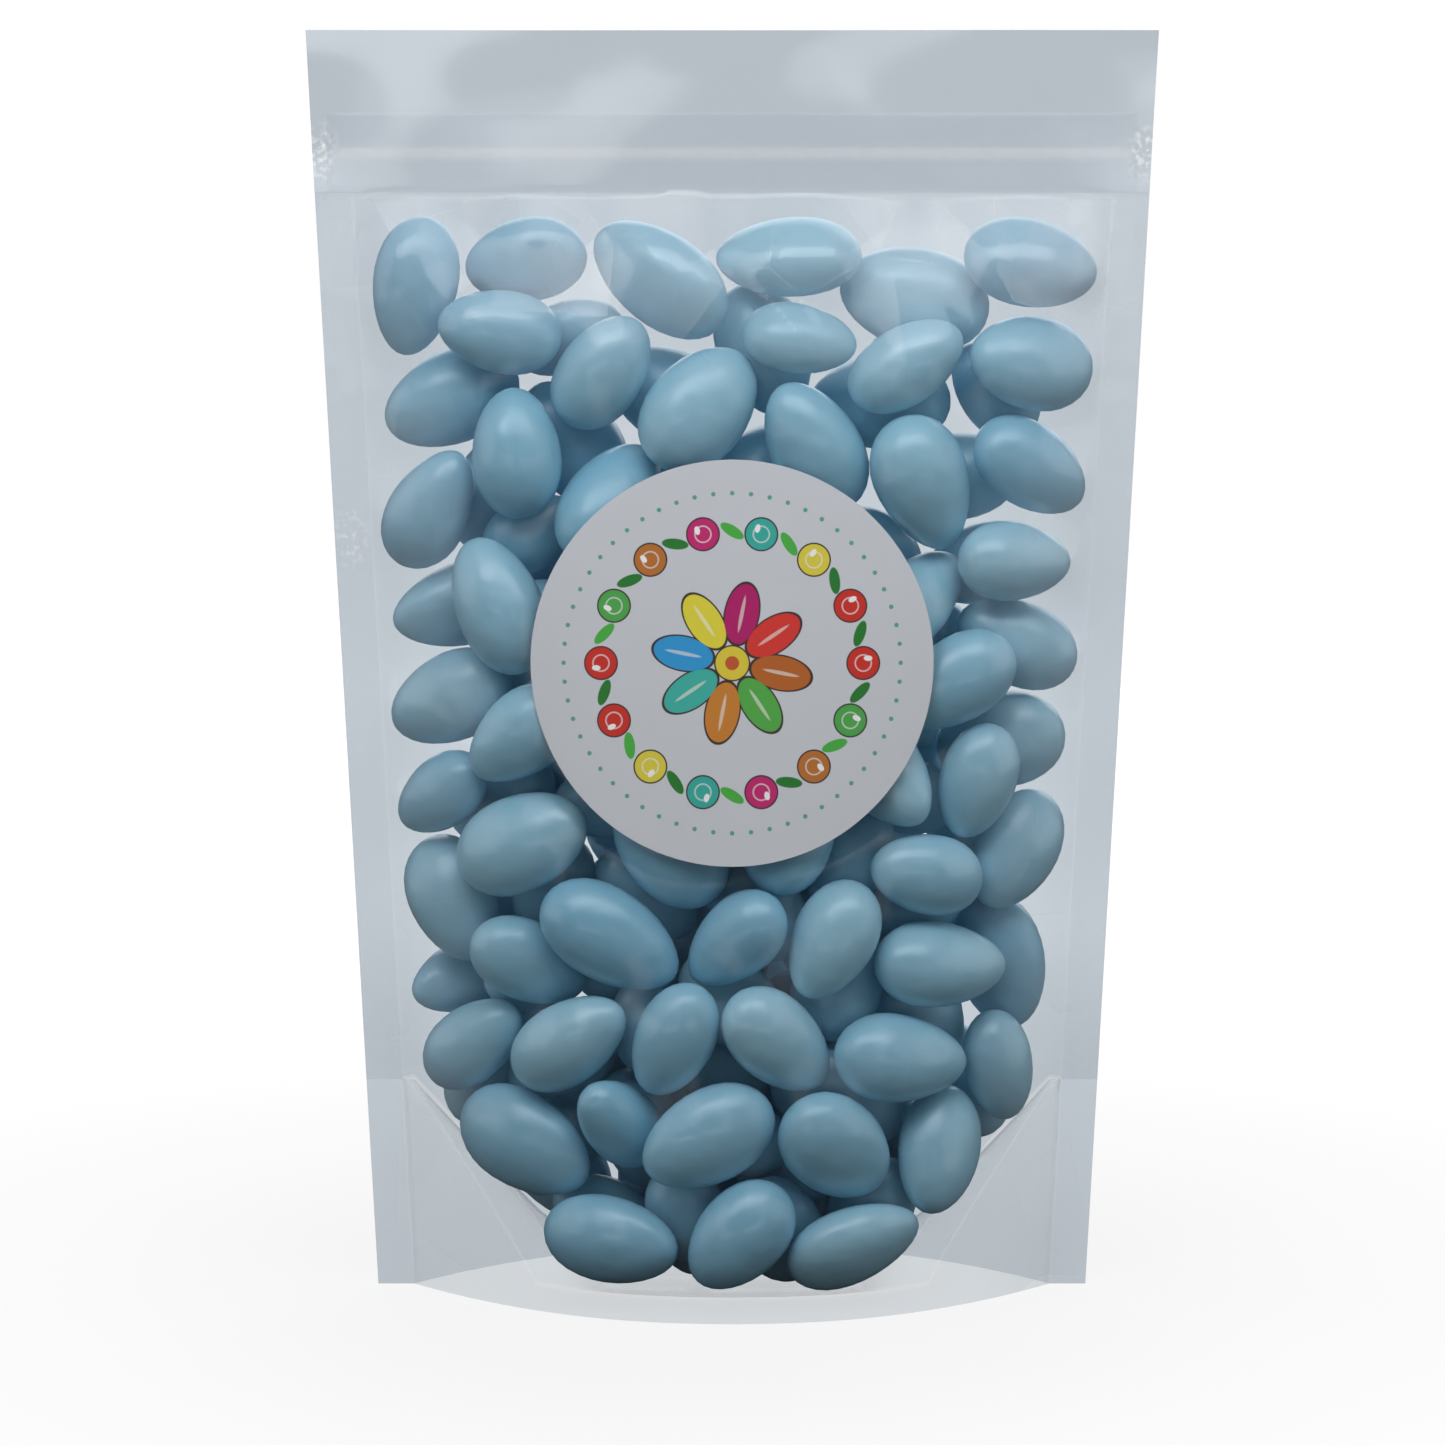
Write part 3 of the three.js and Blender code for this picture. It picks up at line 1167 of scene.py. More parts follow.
@dataclass(frozen=True)
class StickerPaper:
    """The sticker's semi-gloss white paper, printed with a blossom inside a ring of sweets."""

    radius: float
    paper: Colour = (0.605, 0.63, 0.675)
    ink: Colour = (0.05, 0.03, 0.03)
    edge: float = 0.08 * MM
    outline: float = 0.28 * MM
    petal_place: float = 9.3 * MM
    petal_half_length: float = 5.6 * MM
    petal_half_width: float = 3.1 * MM
    petal_colours: tuple[Colour, ...] = (
        (0.48, 0.13, 0.02),
        (0.70, 0.04, 0.03),
        (0.45, 0.01, 0.14),
        (0.76, 0.68, 0.05),
        (0.03, 0.32, 0.68),
        (0.05, 0.45, 0.38),
        (0.60, 0.22, 0.03),
        (0.09, 0.42, 0.07),
    )
    heart_radius: float = 3.1 * MM
    heart_dot_radius: float = 1.3 * MM
    heart_colours: tuple[Colour, Colour] = ((0.74, 0.60, 0.05), (0.55, 0.10, 0.03))
    sweet_count: int = 14
    sweet_place: float = 24.5 * MM
    sweet_radius: float = 2.9 * MM
    sweet_colours: tuple[Colour, ...] = (
        (0.62, 0.03, 0.02),
        (0.72, 0.62, 0.06),
        (0.04, 0.42, 0.36),
        (0.56, 0.02, 0.17),
        (0.50, 0.17, 0.03),
        (0.08, 0.40, 0.08),
        (0.05, 0.33, 0.66),
    )
    leaf_half_length: float = 2.5 * MM
    leaf_half_width: float = 1.0 * MM
    leaf_slant: float = 0.55
    leaf_colours: tuple[Colour, ...] = ((0.02, 0.20, 0.03), (0.07, 0.44, 0.06))
    dot_count: int = 56
    dot_place: float = 31.5 * MM
    dot_radius: float = 0.42 * MM
    dot_colour: Colour = (0.10, 0.36, 0.30)
    roughness: float = 0.34
    fibre_grain: float = 0.5 * MM
    wave_grain: float = 9 * MM
    wave_height: float = 0.12 * MM

    def build(self) -> bpy.types.Material:
        """Builds the finish.

        Returns:
            The material.
        """
        graph = Graph(bpy.data.materials.new("sticker paper"))
        chart = graph.add("ShaderNodeUVMap", {"uv_map": "flat"})
        across, up, _ = graph.axes(chart)
        x = (across - 0.5) * (2 * self.radius)
        y = (up - 0.5) * (2 * self.radius)
        far = (x * x + y * y) ** 0.5
        angle = y.math("ARCTAN2", x)
        colour: Any = self.paper
        colour = self._dots(graph, colour, far, angle)
        colour = self._leaves(graph, colour, far, angle)
        colour = self._sweets(graph, colour, far, angle)
        colour = self._blossom(graph, colour, far, angle)
        fibres = graph.noise(graph.place(), self.fibre_grain, detail=2.0)
        waves = graph.noise(graph.place(), self.wave_grain, detail=1.0)
        values = {
            "Base Color": colour,
            "Roughness": fibres * 0.05 + self.roughness,
            "Normal": graph.bump(waves, self.wave_height),
        }
        return graph.finish(graph.add("ShaderNodeBsdfPrincipled", {}, values))

    def _sector(self, angle: Wire, far: Wire, count: int, shift: float = 0.0) -> tuple[Wire, Wire, Wire]:
        """Folds the print round its centre into equal sectors.

        Args:
            angle: The angle round the centre.
            far: The distance from the centre.
            count: The number of sectors.
            shift: By how much of a sector they are turned.

        Returns:
            The distances outward and sideways from the sector's middle line, and which sector
            it is, from 0 to 1.
        """
        part = 2 * math.pi / count
        number = (angle / part + (shift + 0.5)).math("FLOOR")
        local = angle - (number - shift) * part
        which = ((number + count) / count).math("FRACT")
        return far * local.math("COSINE"), far * local.math("SINE"), which

    def _palette(self, graph: Graph, which: Wire, colours: tuple[Colour, ...]) -> Wire:
        """Picks a colour for each sector from an even row of colours.

        Args:
            graph: The material's nodes.
            which: Which sector it is, from 0 to 1.
            colours: The row of colours.

        Returns:
            The sector's colour.
        """
        stops = [(i / len(colours), colour) for i, colour in enumerate(colours)]
        ramp = graph.add("ShaderNodeValToRGB", {"stops": stops}, {0: which})
        ramp.socket.node.color_ramp.interpolation = "CONSTANT"
        return ramp

    def _oval(self, out: Wire, aside: Wire, place: float, half_length: float, half_width: float) -> Wire:
        """Measures how far a place lies from an oval's edge.

        Args:
            out: The place's distance outward.
            aside: Its distance sideways.
            place: The oval's place outward.
            half_length: Half of its length.
            half_width: Half of its width.

        Returns:
            The rough distance, below 0 inside the oval.
        """
        long = (out - place) / half_length
        wide = aside / half_width
        return ((long * long + wide * wide) ** 0.5 - 1) * min(half_length, half_width)

    def _dots(self, graph: Graph, colour: Any, far: Wire, angle: Wire) -> Wire:
        """Draws the fine outer ring of dots.

        Args:
            graph: The material's nodes.
            colour: The print's colour so far.
            far: The distance from the centre.
            angle: The angle round the centre.

        Returns:
            The new colour.
        """
        out, aside, _ = self._sector(angle, far, self.dot_count)
        oval = self._oval(out, aside, self.dot_place, self.dot_radius, self.dot_radius)
        return graph.mix(oval.below(0.0, self.edge), colour, self.dot_colour)

    def _leaves(self, graph: Graph, colour: Any, far: Wire, angle: Wire) -> Wire:
        """Draws a leaf between each two sweets.

        Args:
            graph: The material's nodes.
            colour: The print's colour so far.
            far: The distance from the centre.
            angle: The angle round the centre.

        Returns:
            The new colour.
        """
        out, aside, which = self._sector(angle, far, self.sweet_count, 0.5)
        turned_out = out - self.sweet_place
        along = aside * math.cos(self.leaf_slant) + turned_out * math.sin(self.leaf_slant)
        over = turned_out * math.cos(self.leaf_slant) - aside * math.sin(self.leaf_slant)
        oval = self._oval(along, over, 0.0, self.leaf_half_length, self.leaf_half_width)
        every_other = (which * self.sweet_count / 2).math("FRACT")
        greens = self._palette(graph, every_other, self.leaf_colours)
        return graph.mix(oval.below(0.0, self.edge), colour, greens)

    def _sweets(self, graph: Graph, colour: Any, far: Wire, angle: Wire) -> Wire:
        """Draws the ring of round sweets.

        Args:
            graph: The material's nodes.
            colour: The print's colour so far.
            far: The distance from the centre.
            angle: The angle round the centre.

        Returns:
            The new colour.
        """
        out, aside, which = self._sector(angle, far, self.sweet_count)
        oval = self._oval(out, aside, self.sweet_place, self.sweet_radius, self.sweet_radius)
        fill = self._palette(graph, (which * 2).math("FRACT"), self.sweet_colours)
        shine = self._oval(out, aside - 0.9 * MM, self.sweet_place + 0.9 * MM, 0.8 * MM, 0.5 * MM)
        swirl = self._oval(out, aside, self.sweet_place, 1.5 * MM, 1.5 * MM).size()
        fill = graph.mix(swirl.below(0.14 * MM, self.edge) * 0.6, fill, (0.85, 0.85, 0.85))
        fill = graph.mix(shine.below(0.0, self.edge), fill, (0.9, 0.9, 0.9))
        colour = graph.mix(oval.below(self.outline, self.edge), colour, self.ink)
        return graph.mix(oval.below(0.0, self.edge), colour, fill)

    def _blossom(self, graph: Graph, colour: Any, far: Wire, angle: Wire) -> Wire:
        """Draws the blossom in the middle.

        Args:
            graph: The material's nodes.
            colour: The print's colour so far.
            far: The distance from the centre.
            angle: The angle round the centre.

        Returns:
            The new colour.
        """
        out, aside, which = self._sector(angle, far, len(self.petal_colours), 0.25)
        oval = self._oval(out, aside, self.petal_place, self.petal_half_length, self.petal_half_width)
        fill = self._palette(graph, which, self.petal_colours)
        vein = self._oval(out, aside, self.petal_place, self.petal_half_length * 0.6, 0.35 * MM)
        fill = graph.mix(vein.below(0.0, self.edge) * 0.5, fill, (0.9, 0.88, 0.8))
        colour = graph.mix(oval.below(self.outline, self.edge), colour, self.ink)
        colour = graph.mix(oval.below(0.0, self.edge), colour, fill)
        colour = graph.mix(far.below(self.heart_radius + self.outline, self.edge), colour, self.ink)
        colour = graph.mix(far.below(self.heart_radius, self.edge), colour, self.heart_colours[0])
        return graph.mix(far.below(self.heart_dot_radius, self.edge), colour, self.heart_colours[1])


def new_piece(
    name: str,
    points: Array,
    faces: Faces,
    material: bpy.types.Material,
) -> bpy.types.Object:
    """Makes a smooth mesh piece.

    Args:
        name: The piece's name.
        points: Its points.
        faces: Its faces, as rows of point numbers.
        material: Its material.

    Returns:
        The object, at the origin.
    """
    mesh = bpy.data.meshes.new(name)
    mesh.from_pydata([tuple(p) for p in points], [], faces)
    mesh.update()
    mesh.materials.append(material)
    mesh.polygons.foreach_set("use_smooth", np.ones(len(mesh.polygons), bool))
    piece = bpy.data.objects.new(name, mesh)
    bpy.context.scene.collection.objects.link(piece)
    return piece


def close_and_face_out(piece: bpy.types.Object, merge_within: float) -> None:
    """Merges a closed mesh's doubled points and turns its faces outward.

    Args:
        piece: The piece.
        merge_within: How near doubled points lie.
    """
    shell = bmesh.new()
    shell.from_mesh(piece.data)
    bmesh.ops.remove_doubles(shell, verts=shell.verts, dist=merge_within)
    bmesh.ops.dissolve_degenerate(shell, edges=shell.edges, dist=merge_within / 2)
    bmesh.ops.recalc_face_normals(shell, faces=shell.faces)
    shell.to_mesh(piece.data)
    shell.free()


def points_of(mesh: bpy.types.Mesh) -> Array:
    """Reads a mesh's points.

    Args:
        mesh: The mesh.

    Returns:
        The points, a row for each.
    """
    points = np.zeros(len(mesh.vertices) * 3)
    mesh.vertices.foreach_get("co", points)
    return points.reshape(-1, 3)


def grid_faces(rows: int, columns: int, start: int = 0) -> Faces:
    """Returns the faces of a grid whose points run row by row from a first number."""
    corners = [start + row * columns + column for row in range(rows - 1) for column in range(columns - 1)]
    return [(a, a + 1, a + columns + 1, a + columns) for a in corners]


def tube_faces(rings: int, around: int, start: int = 0) -> Faces:
    """Joins closed rings of points by faces.

    Args:
        rings: The number of rings.
        around: The points of each ring.
        start: The first point's number.

    Returns:
        The faces.
    """
    faces = []
    for low in range(start, start + (rings - 1) * around, around):
        for spoke in range(around):
            a, b = low + spoke, low + (spoke + 1) % around
            faces.append((a, b, b + around, a + around))
    return faces


def fan_faces(tip: int, around: int, start: int) -> Faces:
    """Returns the triangles between a tip and a closed ring whose points run from a first number."""
    return [(tip, start + (spoke + 1) % around, start + spoke) for spoke in range(around)]


def turned_over(faces: Faces) -> Faces:
    """Returns the faces seen from their other side, each from the same first corner."""
    return [(face[0], *face[:0:-1]) for face in faces]


@dataclass
class Almonds:
    """The sugared almonds, one mesh made by Geometry Nodes from a few almond shapes."""

    fill: AlmondFill
    finish: SugarShell
    kinds: int = 5
    around: int = 24
    along: int = 16
    pointedness: float = 0.13
    dent: float = 0.025
    fit: float = 0.985
    seed: int = 5

    def build(self) -> bpy.types.Object:
        """Builds the almonds.

        Returns:
            The piece.
        """
        material = self.finish.build()
        shapes = bpy.data.collections.new("almond shapes")
        for kind in range(self.kinds):
            shape = self._shape(kind, material)
            bpy.context.scene.collection.objects.unlink(shape)
            shapes.objects.link(shape)
        holder = self._points()
        tree = self._tree()
        modifier = holder.modifiers.new("almonds", "NODES")
        modifier.node_group = tree
        inputs = {"Shapes": shapes, "Finish": material, "Fit": self.fit}
        for socket in tree.interface.items_tree:
            if socket.in_out == "INPUT" and socket.name in inputs:
                modifier[socket.identifier] = inputs[socket.name]
        graph = bpy.context.evaluated_depsgraph_get()
        mesh = bpy.data.meshes.new_from_object(holder.evaluated_get(graph))
        mesh.name = "almonds"
        piece = bpy.data.objects.new("almonds", mesh)
        bpy.context.scene.collection.objects.link(piece)
        bpy.data.objects.remove(holder)
        for shape in list(shapes.objects):
            bpy.data.objects.remove(shape)
        bpy.data.collections.remove(shapes)
        return piece

    def _shape(self, kind: int, material: bpy.types.Material) -> bpy.types.Object:
        """Makes one almond of unit half axes, lying along X, with soft irregularities.

        Args:
            kind: Which of the shapes it is.
            material: The shell's material.

        Returns:
            The almond.
        """
        random = np.random.default_rng(self.seed + kind)
        waves = random.normal(size=(5, 3)) * 1.6
        phases = random.random(5) * 2 * math.pi
        pointed = self.pointedness * (0.5 + random.random())
        points = [(-1.0, 0.0, 0.0)]
        for ring in range(1, self.along):
            angle = math.pi * ring / self.along
            x = -math.cos(angle)
            radius = math.sin(angle) * (1 - pointed * x) / (1 + 0.6 * pointed)
            for spoke in range(self.around):
                turn = 2 * math.pi * spoke / self.around
                points.append((x, radius * math.cos(turn), radius * math.sin(turn)))
        points.append((1.0, 0.0, 0.0))
        places = np.array(points)
        ripple = np.sin(places @ waves.T + phases).mean(axis=1, keepdims=True)
        places *= 1 + self.dent * (ripple - 1)
        last = len(points) - 1
        faces = fan_faces(0, self.around, 1) + tube_faces(self.along - 1, self.around, 1)
        faces += turned_over(fan_faces(last, self.around, last - self.around))
        return new_piece(f"almond_shape_{kind}", places, faces, material)

    def _points(self) -> bpy.types.Object:
        """Makes the almonds' places, with their turns, sizes, kinds and tones.

        Returns:
            The mesh of the places.
        """
        fill = self.fill
        random = np.random.default_rng(self.seed)
        mesh = bpy.data.meshes.new("almond places")
        mesh.from_pydata([tuple(c) for c in fill.centres], [], [])
        count = len(fill.centres)
        turn = turn_matrices(fill.turns)
        flips = np.where(random.random(count) < 0.5, -1.0, 1.0)
        turn = turn * np.stack([flips, flips, np.ones(count)], -1)[:, None, :]
        eulers = np.array([Matrix(m.tolist()).to_euler() for m in turn])
        for name, kind, values in (
            ("turn", "FLOAT_VECTOR", eulers),
            ("size", "FLOAT_VECTOR", fill.halves),
            ("kind", "INT", np.arange(count) % self.kinds),
            ("tone", "FLOAT", random.random(count)),
        ):
            attribute = mesh.attributes.new(name, kind, "POINT")
            key = "vector" if kind == "FLOAT_VECTOR" else "value"
            dtype = np.int32 if kind == "INT" else np.float32
            attribute.data.foreach_set(key, values.astype(dtype).ravel())
        holder = bpy.data.objects.new("almond places", mesh)
        bpy.context.scene.collection.objects.link(holder)
        return holder

    def _tree(self) -> bpy.types.NodeTree:
        """Builds the nodes that put an almond on each place.

        Returns:
            The node tree.
        """
        tree = bpy.data.node_groups.new("almonds on places", "GeometryNodeTree")
        for name, way, kind in (
            ("Places", "INPUT", "Geometry"),
            ("Shapes", "INPUT", "Collection"),
            ("Finish", "INPUT", "Material"),
            ("Fit", "INPUT", "Float"),
            ("Almonds", "OUTPUT", "Geometry"),
        ):
            tree.interface.new_socket(name, in_out=way, socket_type=f"NodeSocket{kind}")
        add, link = tree.nodes.new, tree.links.new
        given, made = add("NodeGroupInput"), add("NodeGroupOutput")
        shapes = add("GeometryNodeCollectionInfo")
        shapes.inputs["Separate Children"].default_value = True
        shapes.inputs["Reset Children"].default_value = True
        link(given.outputs["Shapes"], shapes.inputs["Collection"])
        named = {}
        for name, kind in (("turn", "FLOAT_VECTOR"), ("size", "FLOAT_VECTOR"), ("kind", "INT")):
            named[name] = add("GeometryNodeInputNamedAttribute")
            named[name].data_type = kind
            named[name].inputs["Name"].default_value = name
        scaled = add("ShaderNodeVectorMath")
        scaled.operation = "SCALE"
        link(named["size"].outputs["Attribute"], scaled.inputs[0])
        link(given.outputs["Fit"], scaled.inputs["Scale"])
        put = add("GeometryNodeInstanceOnPoints")
        put.inputs["Pick Instance"].default_value = True
        link(given.outputs["Places"], put.inputs["Points"])
        link(shapes.outputs[0], put.inputs["Instance"])
        link(named["kind"].outputs["Attribute"], put.inputs["Instance Index"])
        link(named["turn"].outputs["Attribute"], put.inputs["Rotation"])
        link(scaled.outputs[0], put.inputs["Scale"])
        real = add("GeometryNodeRealizeInstances")
        dressed = add("GeometryNodeSetMaterial")
        link(put.outputs[0], real.inputs[0])
        link(real.outputs[0], dressed.inputs["Geometry"])
        link(given.outputs["Finish"], dressed.inputs["Material"])
        link(dressed.outputs[0], made.inputs[0])
        return tree


@dataclass(frozen=True)
class CreaseZone:
    """Where a group of the film's small creases lies, by the ranges that they are drawn from."""

    heights: tuple[float, float]
    across: tuple[float, float]
    leans: tuple[float, float]


@dataclass
class Film:
    """The pouch's film, one closed skin: two panels drawn over the almonds, and the gusset."""

    form: PouchForm
    fill: AlmondFill
    finish: ClearFilm
    gusset_finish: ClearFilm
    belly_columns: int = 132
    seal_columns: int = 4
    rows: int = 200
    skirt_rows: int = 10
    gusset_rows: int = 24
    gusset_thickness: float = 0.25 * MM
    merge_within: float = 0.02 * MM
    film_gap: float = 0.25 * MM
    settle_rounds: int = 500
    sag: float = 0.5 * MM
    pressed_in: float = 0.1 * MM
    wave_depth: float = 0.9 * MM
    crease_count: int = 34
    zip_creases: CreaseZone = CreaseZone((0.183, 0.206), (-0.066, 0.066), (-0.8, 0.8))
    side_creases: CreaseZone = CreaseZone((0.03, 0.185), (0.048, 0.062), (-0.5, 0.5))
    crease_lengths: tuple[float, float] = (6 * MM, 14 * MM)
    crease_rises: tuple[float, float] = (0.25 * MM, 0.6 * MM)
    crease_half: float = 1.6 * MM
    inside: float = 1e-6
    seed: int = 3
    fields: dict[Face, Array] = field(init=False, default_factory=dict)

    def __post_init__(self) -> None:
        """Works out the grid's columns and rows, and draws both panels over the almonds."""
        inner = np.linspace(-1, 1, self.belly_columns + 1)
        outer = np.linspace(0, 1, self.seal_columns + 1)[1:]
        self.belly_share = np.concatenate([-np.ones(self.seal_columns), inner, np.ones(self.seal_columns)])
        self.seal_share = np.concatenate([-outer[::-1], np.zeros(self.belly_columns + 1), outer])
        self.heights = np.linspace(0, self.form.height, self.rows + 1)
        self.z = np.repeat(self.heights[:, None], len(self.belly_share), axis=1)
        self.x = self._across(self.z)
        for face in Face:
            self.fields[face] = self._drawn(face)

    def _across(self, z: Array) -> Array:
        """Returns each column's distance from the middle at a row of heights."""
        return self.belly_share * self.form.belly_half(z) + self.seal_share * self.form.side_seal

    def _drawn(self, face: Face) -> Array:
        """Draws one panel tight over the almonds.

        Args:
            face: The panel's face.

        Returns:
            The depths of the grid's points.
        """
        form = self.form
        x, z = self.x, self.z
        base = form.envelope(x, np.minimum(z, form.closed))
        pressed = self._pressed(face)
        held = (self.seal_share != 0) | (np.abs(self.belly_share) == 1)
        held = held | (z >= form.closed - self._closing_sag(x)) | (z <= form.gusset_seal(x))
        depth = np.where(held, base, np.maximum(pressed, form.film_half))
        for _ in range(self.settle_rounds):
            beside = depth.copy()
            beside[1:-1, 1:-1] = 0.25 * (
                depth[1:-1, 2:] + depth[1:-1, :-2] + depth[2:, 1:-1] + depth[:-2, 1:-1]
            )
            depth = np.where(held, base, np.maximum(pressed, beside))
        if face is Face.FRONT:
            hold = form.sticker.hold(x, z)
            depth = blend(depth, base - self.pressed_in, hold)
        free = np.where(held, 0.0, 1.0)
        return depth + self._creases(face) * free

    def _closing_sag(self, x: Array) -> Array:
        """Returns how far below the zip's band the two panels lie together."""
        return self.sag * (1 + 0.6 * np.sin(x / (7 * MM)) + 0.4 * np.sin(x / (2.9 * MM) + 1))

    def _pressed(self, face: Face) -> Array:
        """Finds how far out the almonds reach at each of the grid's points.

        Args:
            face: The panel's face.

        Returns:
            The depths, below 0 where there is no almond.
        """
        reach = np.full(self.x.shape, -1.0)
        shapes = self.fill.matrices()
        for centre, shape in zip(self.fill.centres, shapes):
            half = np.sqrt(np.diag(shape))
            near = (np.abs(self.x - centre[0]) < half[0]) & (np.abs(self.z - centre[2]) < half[2])
            if not near.any():
                continue
            inverse = np.linalg.inv(shape)
            dx, dz = self.x[near] - centre[0], self.z[near] - centre[2]
            a = inverse[1, 1]
            b = inverse[0, 1] * dx + inverse[1, 2] * dz
            c = inverse[0, 0] * dx**2 + 2 * inverse[0, 2] * dx * dz + inverse[2, 2] * dz**2 - 1
            inside = b * b - a * c
            root = np.sqrt(np.maximum(inside, 0.0))
            y = centre[1] + (-b + face.value * root) / a
            out = np.where(inside > 0, face.value * y + self.film_gap, -1.0)
            reach[near] = np.maximum(reach[near], out)
        return reach

    def _creases(self, face: Face) -> Array:
        """Draws the film's small sharp creases, most of them under the zip and at the sides.

        Args:
            face: The panel's face.

        Returns:
            How high they stand at each of the grid's points.
        """
        random = np.random.default_rng(self.seed + face.value)
        height = np.zeros(self.x.shape)
        for number in range(self.crease_count):
            under_zip = number < self.crease_count // 2
            zone = self.zip_creases if under_zip else self.side_creases
            z = random.uniform(*zone.heights)
            side = random.choice([-1, 1])
            x = random.uniform(*zone.across) * (1 if under_zip else side)
            lean = random.uniform(*zone.leans)
            length = random.uniform(*self.crease_lengths)
            along = (self.z - z) * math.cos(lean) + (self.x - x) * math.sin(lean)
            aside = (self.x - x) * math.cos(lean) - (self.z - z) * math.sin(lean)
            taper = np.clip(1 - (along / length) ** 2, 0.0, 1.0)
            ridge = np.clip(1 - np.abs(aside) / self.crease_half, 0.0, 1.0)
            height = np.maximum(height, random.uniform(*self.crease_rises) * taper * ridge)
        return height

    def wave(self, x: Array, z: Array) -> Array:
        """Waves the flat header out of the seam plane.

        Args:
            x: Distances across.
            z: Heights.

        Returns:
            How far it stands out.
        """
        rise = smooth(z, self.form.closed - 6 * MM, self.form.height)
        slow = np.sin(x / (24 * MM) + 0.8 + z / (22 * MM))
        quick = np.sin(x / (10 * MM) - z / (11 * MM))
        return self.wave_depth * rise * (slow + 0.35 * quick)

    def depth_at(self, x: Array, z: Array, face: Face) -> Array:
        """Reads a panel's depth between the grid's points.

        Args:
            x: Distances across.
            z: Heights.
            face: The panel's face.

        Returns:
            The depths.
        """
        row = np.clip(z / self.form.height * self.rows, 0, self.rows - self.inside)
        column = (x / self.form.belly_half(z) + 1) / 2 * self.belly_columns + self.seal_columns
        column = np.clip(column, 0, len(self.belly_share) - 1 - self.inside)
        r, c = row.astype(int), column.astype(int)
        up, right = row - r, column - c
        depths = self.fields[face]
        low = blend(depths[r, c], depths[r, c + 1], right)
        high = blend(depths[r + 1, c], depths[r + 1, c + 1], right)
        return blend(low, high, up)

    def build(self) -> bpy.types.Object:
        """Builds the film.

        Returns:
            The piece.
        """
        parts: list[Array] = []
        faces: Faces = []

        def add_grid(x: Array, y: Array, z: Array) -> None:
            """Adds a grid and its faces.

            Args:
                x, y, z: The places of the grid's points.
            """
            start = sum(len(p) for p in parts)
            parts.append(np.stack([x, y, z], -1).reshape(-1, 3))
            faces.extend(grid_faces(x.shape[0], x.shape[1], start))

        middle = self.form.seam_y + self.wave(self.x, self.z)
        front, back = (middle + face.value * self.fields[face] for face in Face)
        add_grid(self.x, front, self.z)
        add_grid(self.x, back, self.z)
        across_rim = (front, middle, back)
        for column in (0, -1):
            side_x, side_z = (np.stack([grid[:, column]] * 3, 1) for grid in (self.x, self.z))
            add_grid(side_x, np.stack([layer[:, column] for layer in across_rim], 1), side_z)
        top_x, top_z = (np.stack([grid[-1]] * 3) for grid in (self.x, self.z))
        add_grid(top_x, np.stack([layer[-1] for layer in across_rim]), top_z)
        panel_faces = len(faces)
        self._add_gusset(add_grid)
        piece = new_piece("film", np.concatenate(parts), faces, self.finish.build())
        piece.data.materials.append(self.gusset_finish.build())
        inside = np.arange(len(faces)) >= panel_faces
        piece.data.polygons.foreach_set("material_index", inside.astype(np.int32))
        close_and_face_out(piece, self.merge_within)
        piece.data.set_sharp_from_angle(angle=RIM_ANGLE)
        self._mark_front(piece.data)
        return piece

    def _mark_front(self, mesh: bpy.types.Mesh) -> None:
        """Marks the front panel's points, so that the finish tells the two panels apart.

        Args:
            mesh: The film's mesh.
        """
        x, y, z = points_of(mesh).T
        front = y < self.form.seam_y + self.wave(x, z)
        mark = mesh.attributes.new("front", "FLOAT", "POINT")
        mark.data.foreach_set("value", front.astype(np.float32))

    def _add_gusset(self, add_grid: Callable[[Array, Array, Array], None]) -> None:
        """Adds the skirts' inner sides, the opened gusset between them, and the rims.

        Args:
            add_grid: Takes a grid's x, y and z.
        """
        form = self.form
        seam = form.seam_y
        belly = slice(self.seal_columns, self.seal_columns + self.belly_columns + 1)
        share = self.belly_share[belly]
        ends = np.abs(share) == 1
        foot = share * float(form.belly_half(0.0))
        top = form.gusset_seal(foot)
        rise = np.linspace(0, 1, self.skirt_rows + 1)[:, None]
        z = rise * top
        x = share * form.belly_half(z)
        inner = {}
        for face in Face:
            depth = np.maximum(form.envelope(x, z) - self.gusset_thickness, 0.0)
            inner[face] = np.where(ends, 0.0, depth)
            add_grid(x, seam + face.value * inner[face], z)
        across = np.linspace(-1, 1, self.gusset_rows + 1)[:, None]
        edge_x, edge_z = x[-1], z[-1]
        reach = inner[Face.BACK][-1]
        sheet_y = across * reach
        sheet_z = blend(form.gusset_fold(edge_x), edge_z, across**2)
        sheet_z = np.where(ends, edge_z, sheet_z)
        add_grid(np.repeat(edge_x[None], self.gusset_rows + 1, 0), seam + sheet_y, sheet_z)
        for face in Face:
            outer = self.fields[face][0]
            add_grid(
                np.stack([self.x[0][belly], self.x[0][belly]]),
                seam + face.value * np.stack([outer[belly], inner[face][0]]),
                np.zeros((2, len(share))),
            )
            for part in (slice(0, self.seal_columns + 1), slice(-self.seal_columns - 1, None)):
                add_grid(
                    np.stack([self.x[0][part]] * 2),
                    seam + face.value * np.stack([outer[part], np.zeros(self.seal_columns + 1)]),
                    np.zeros((2, self.seal_columns + 1)),
                )


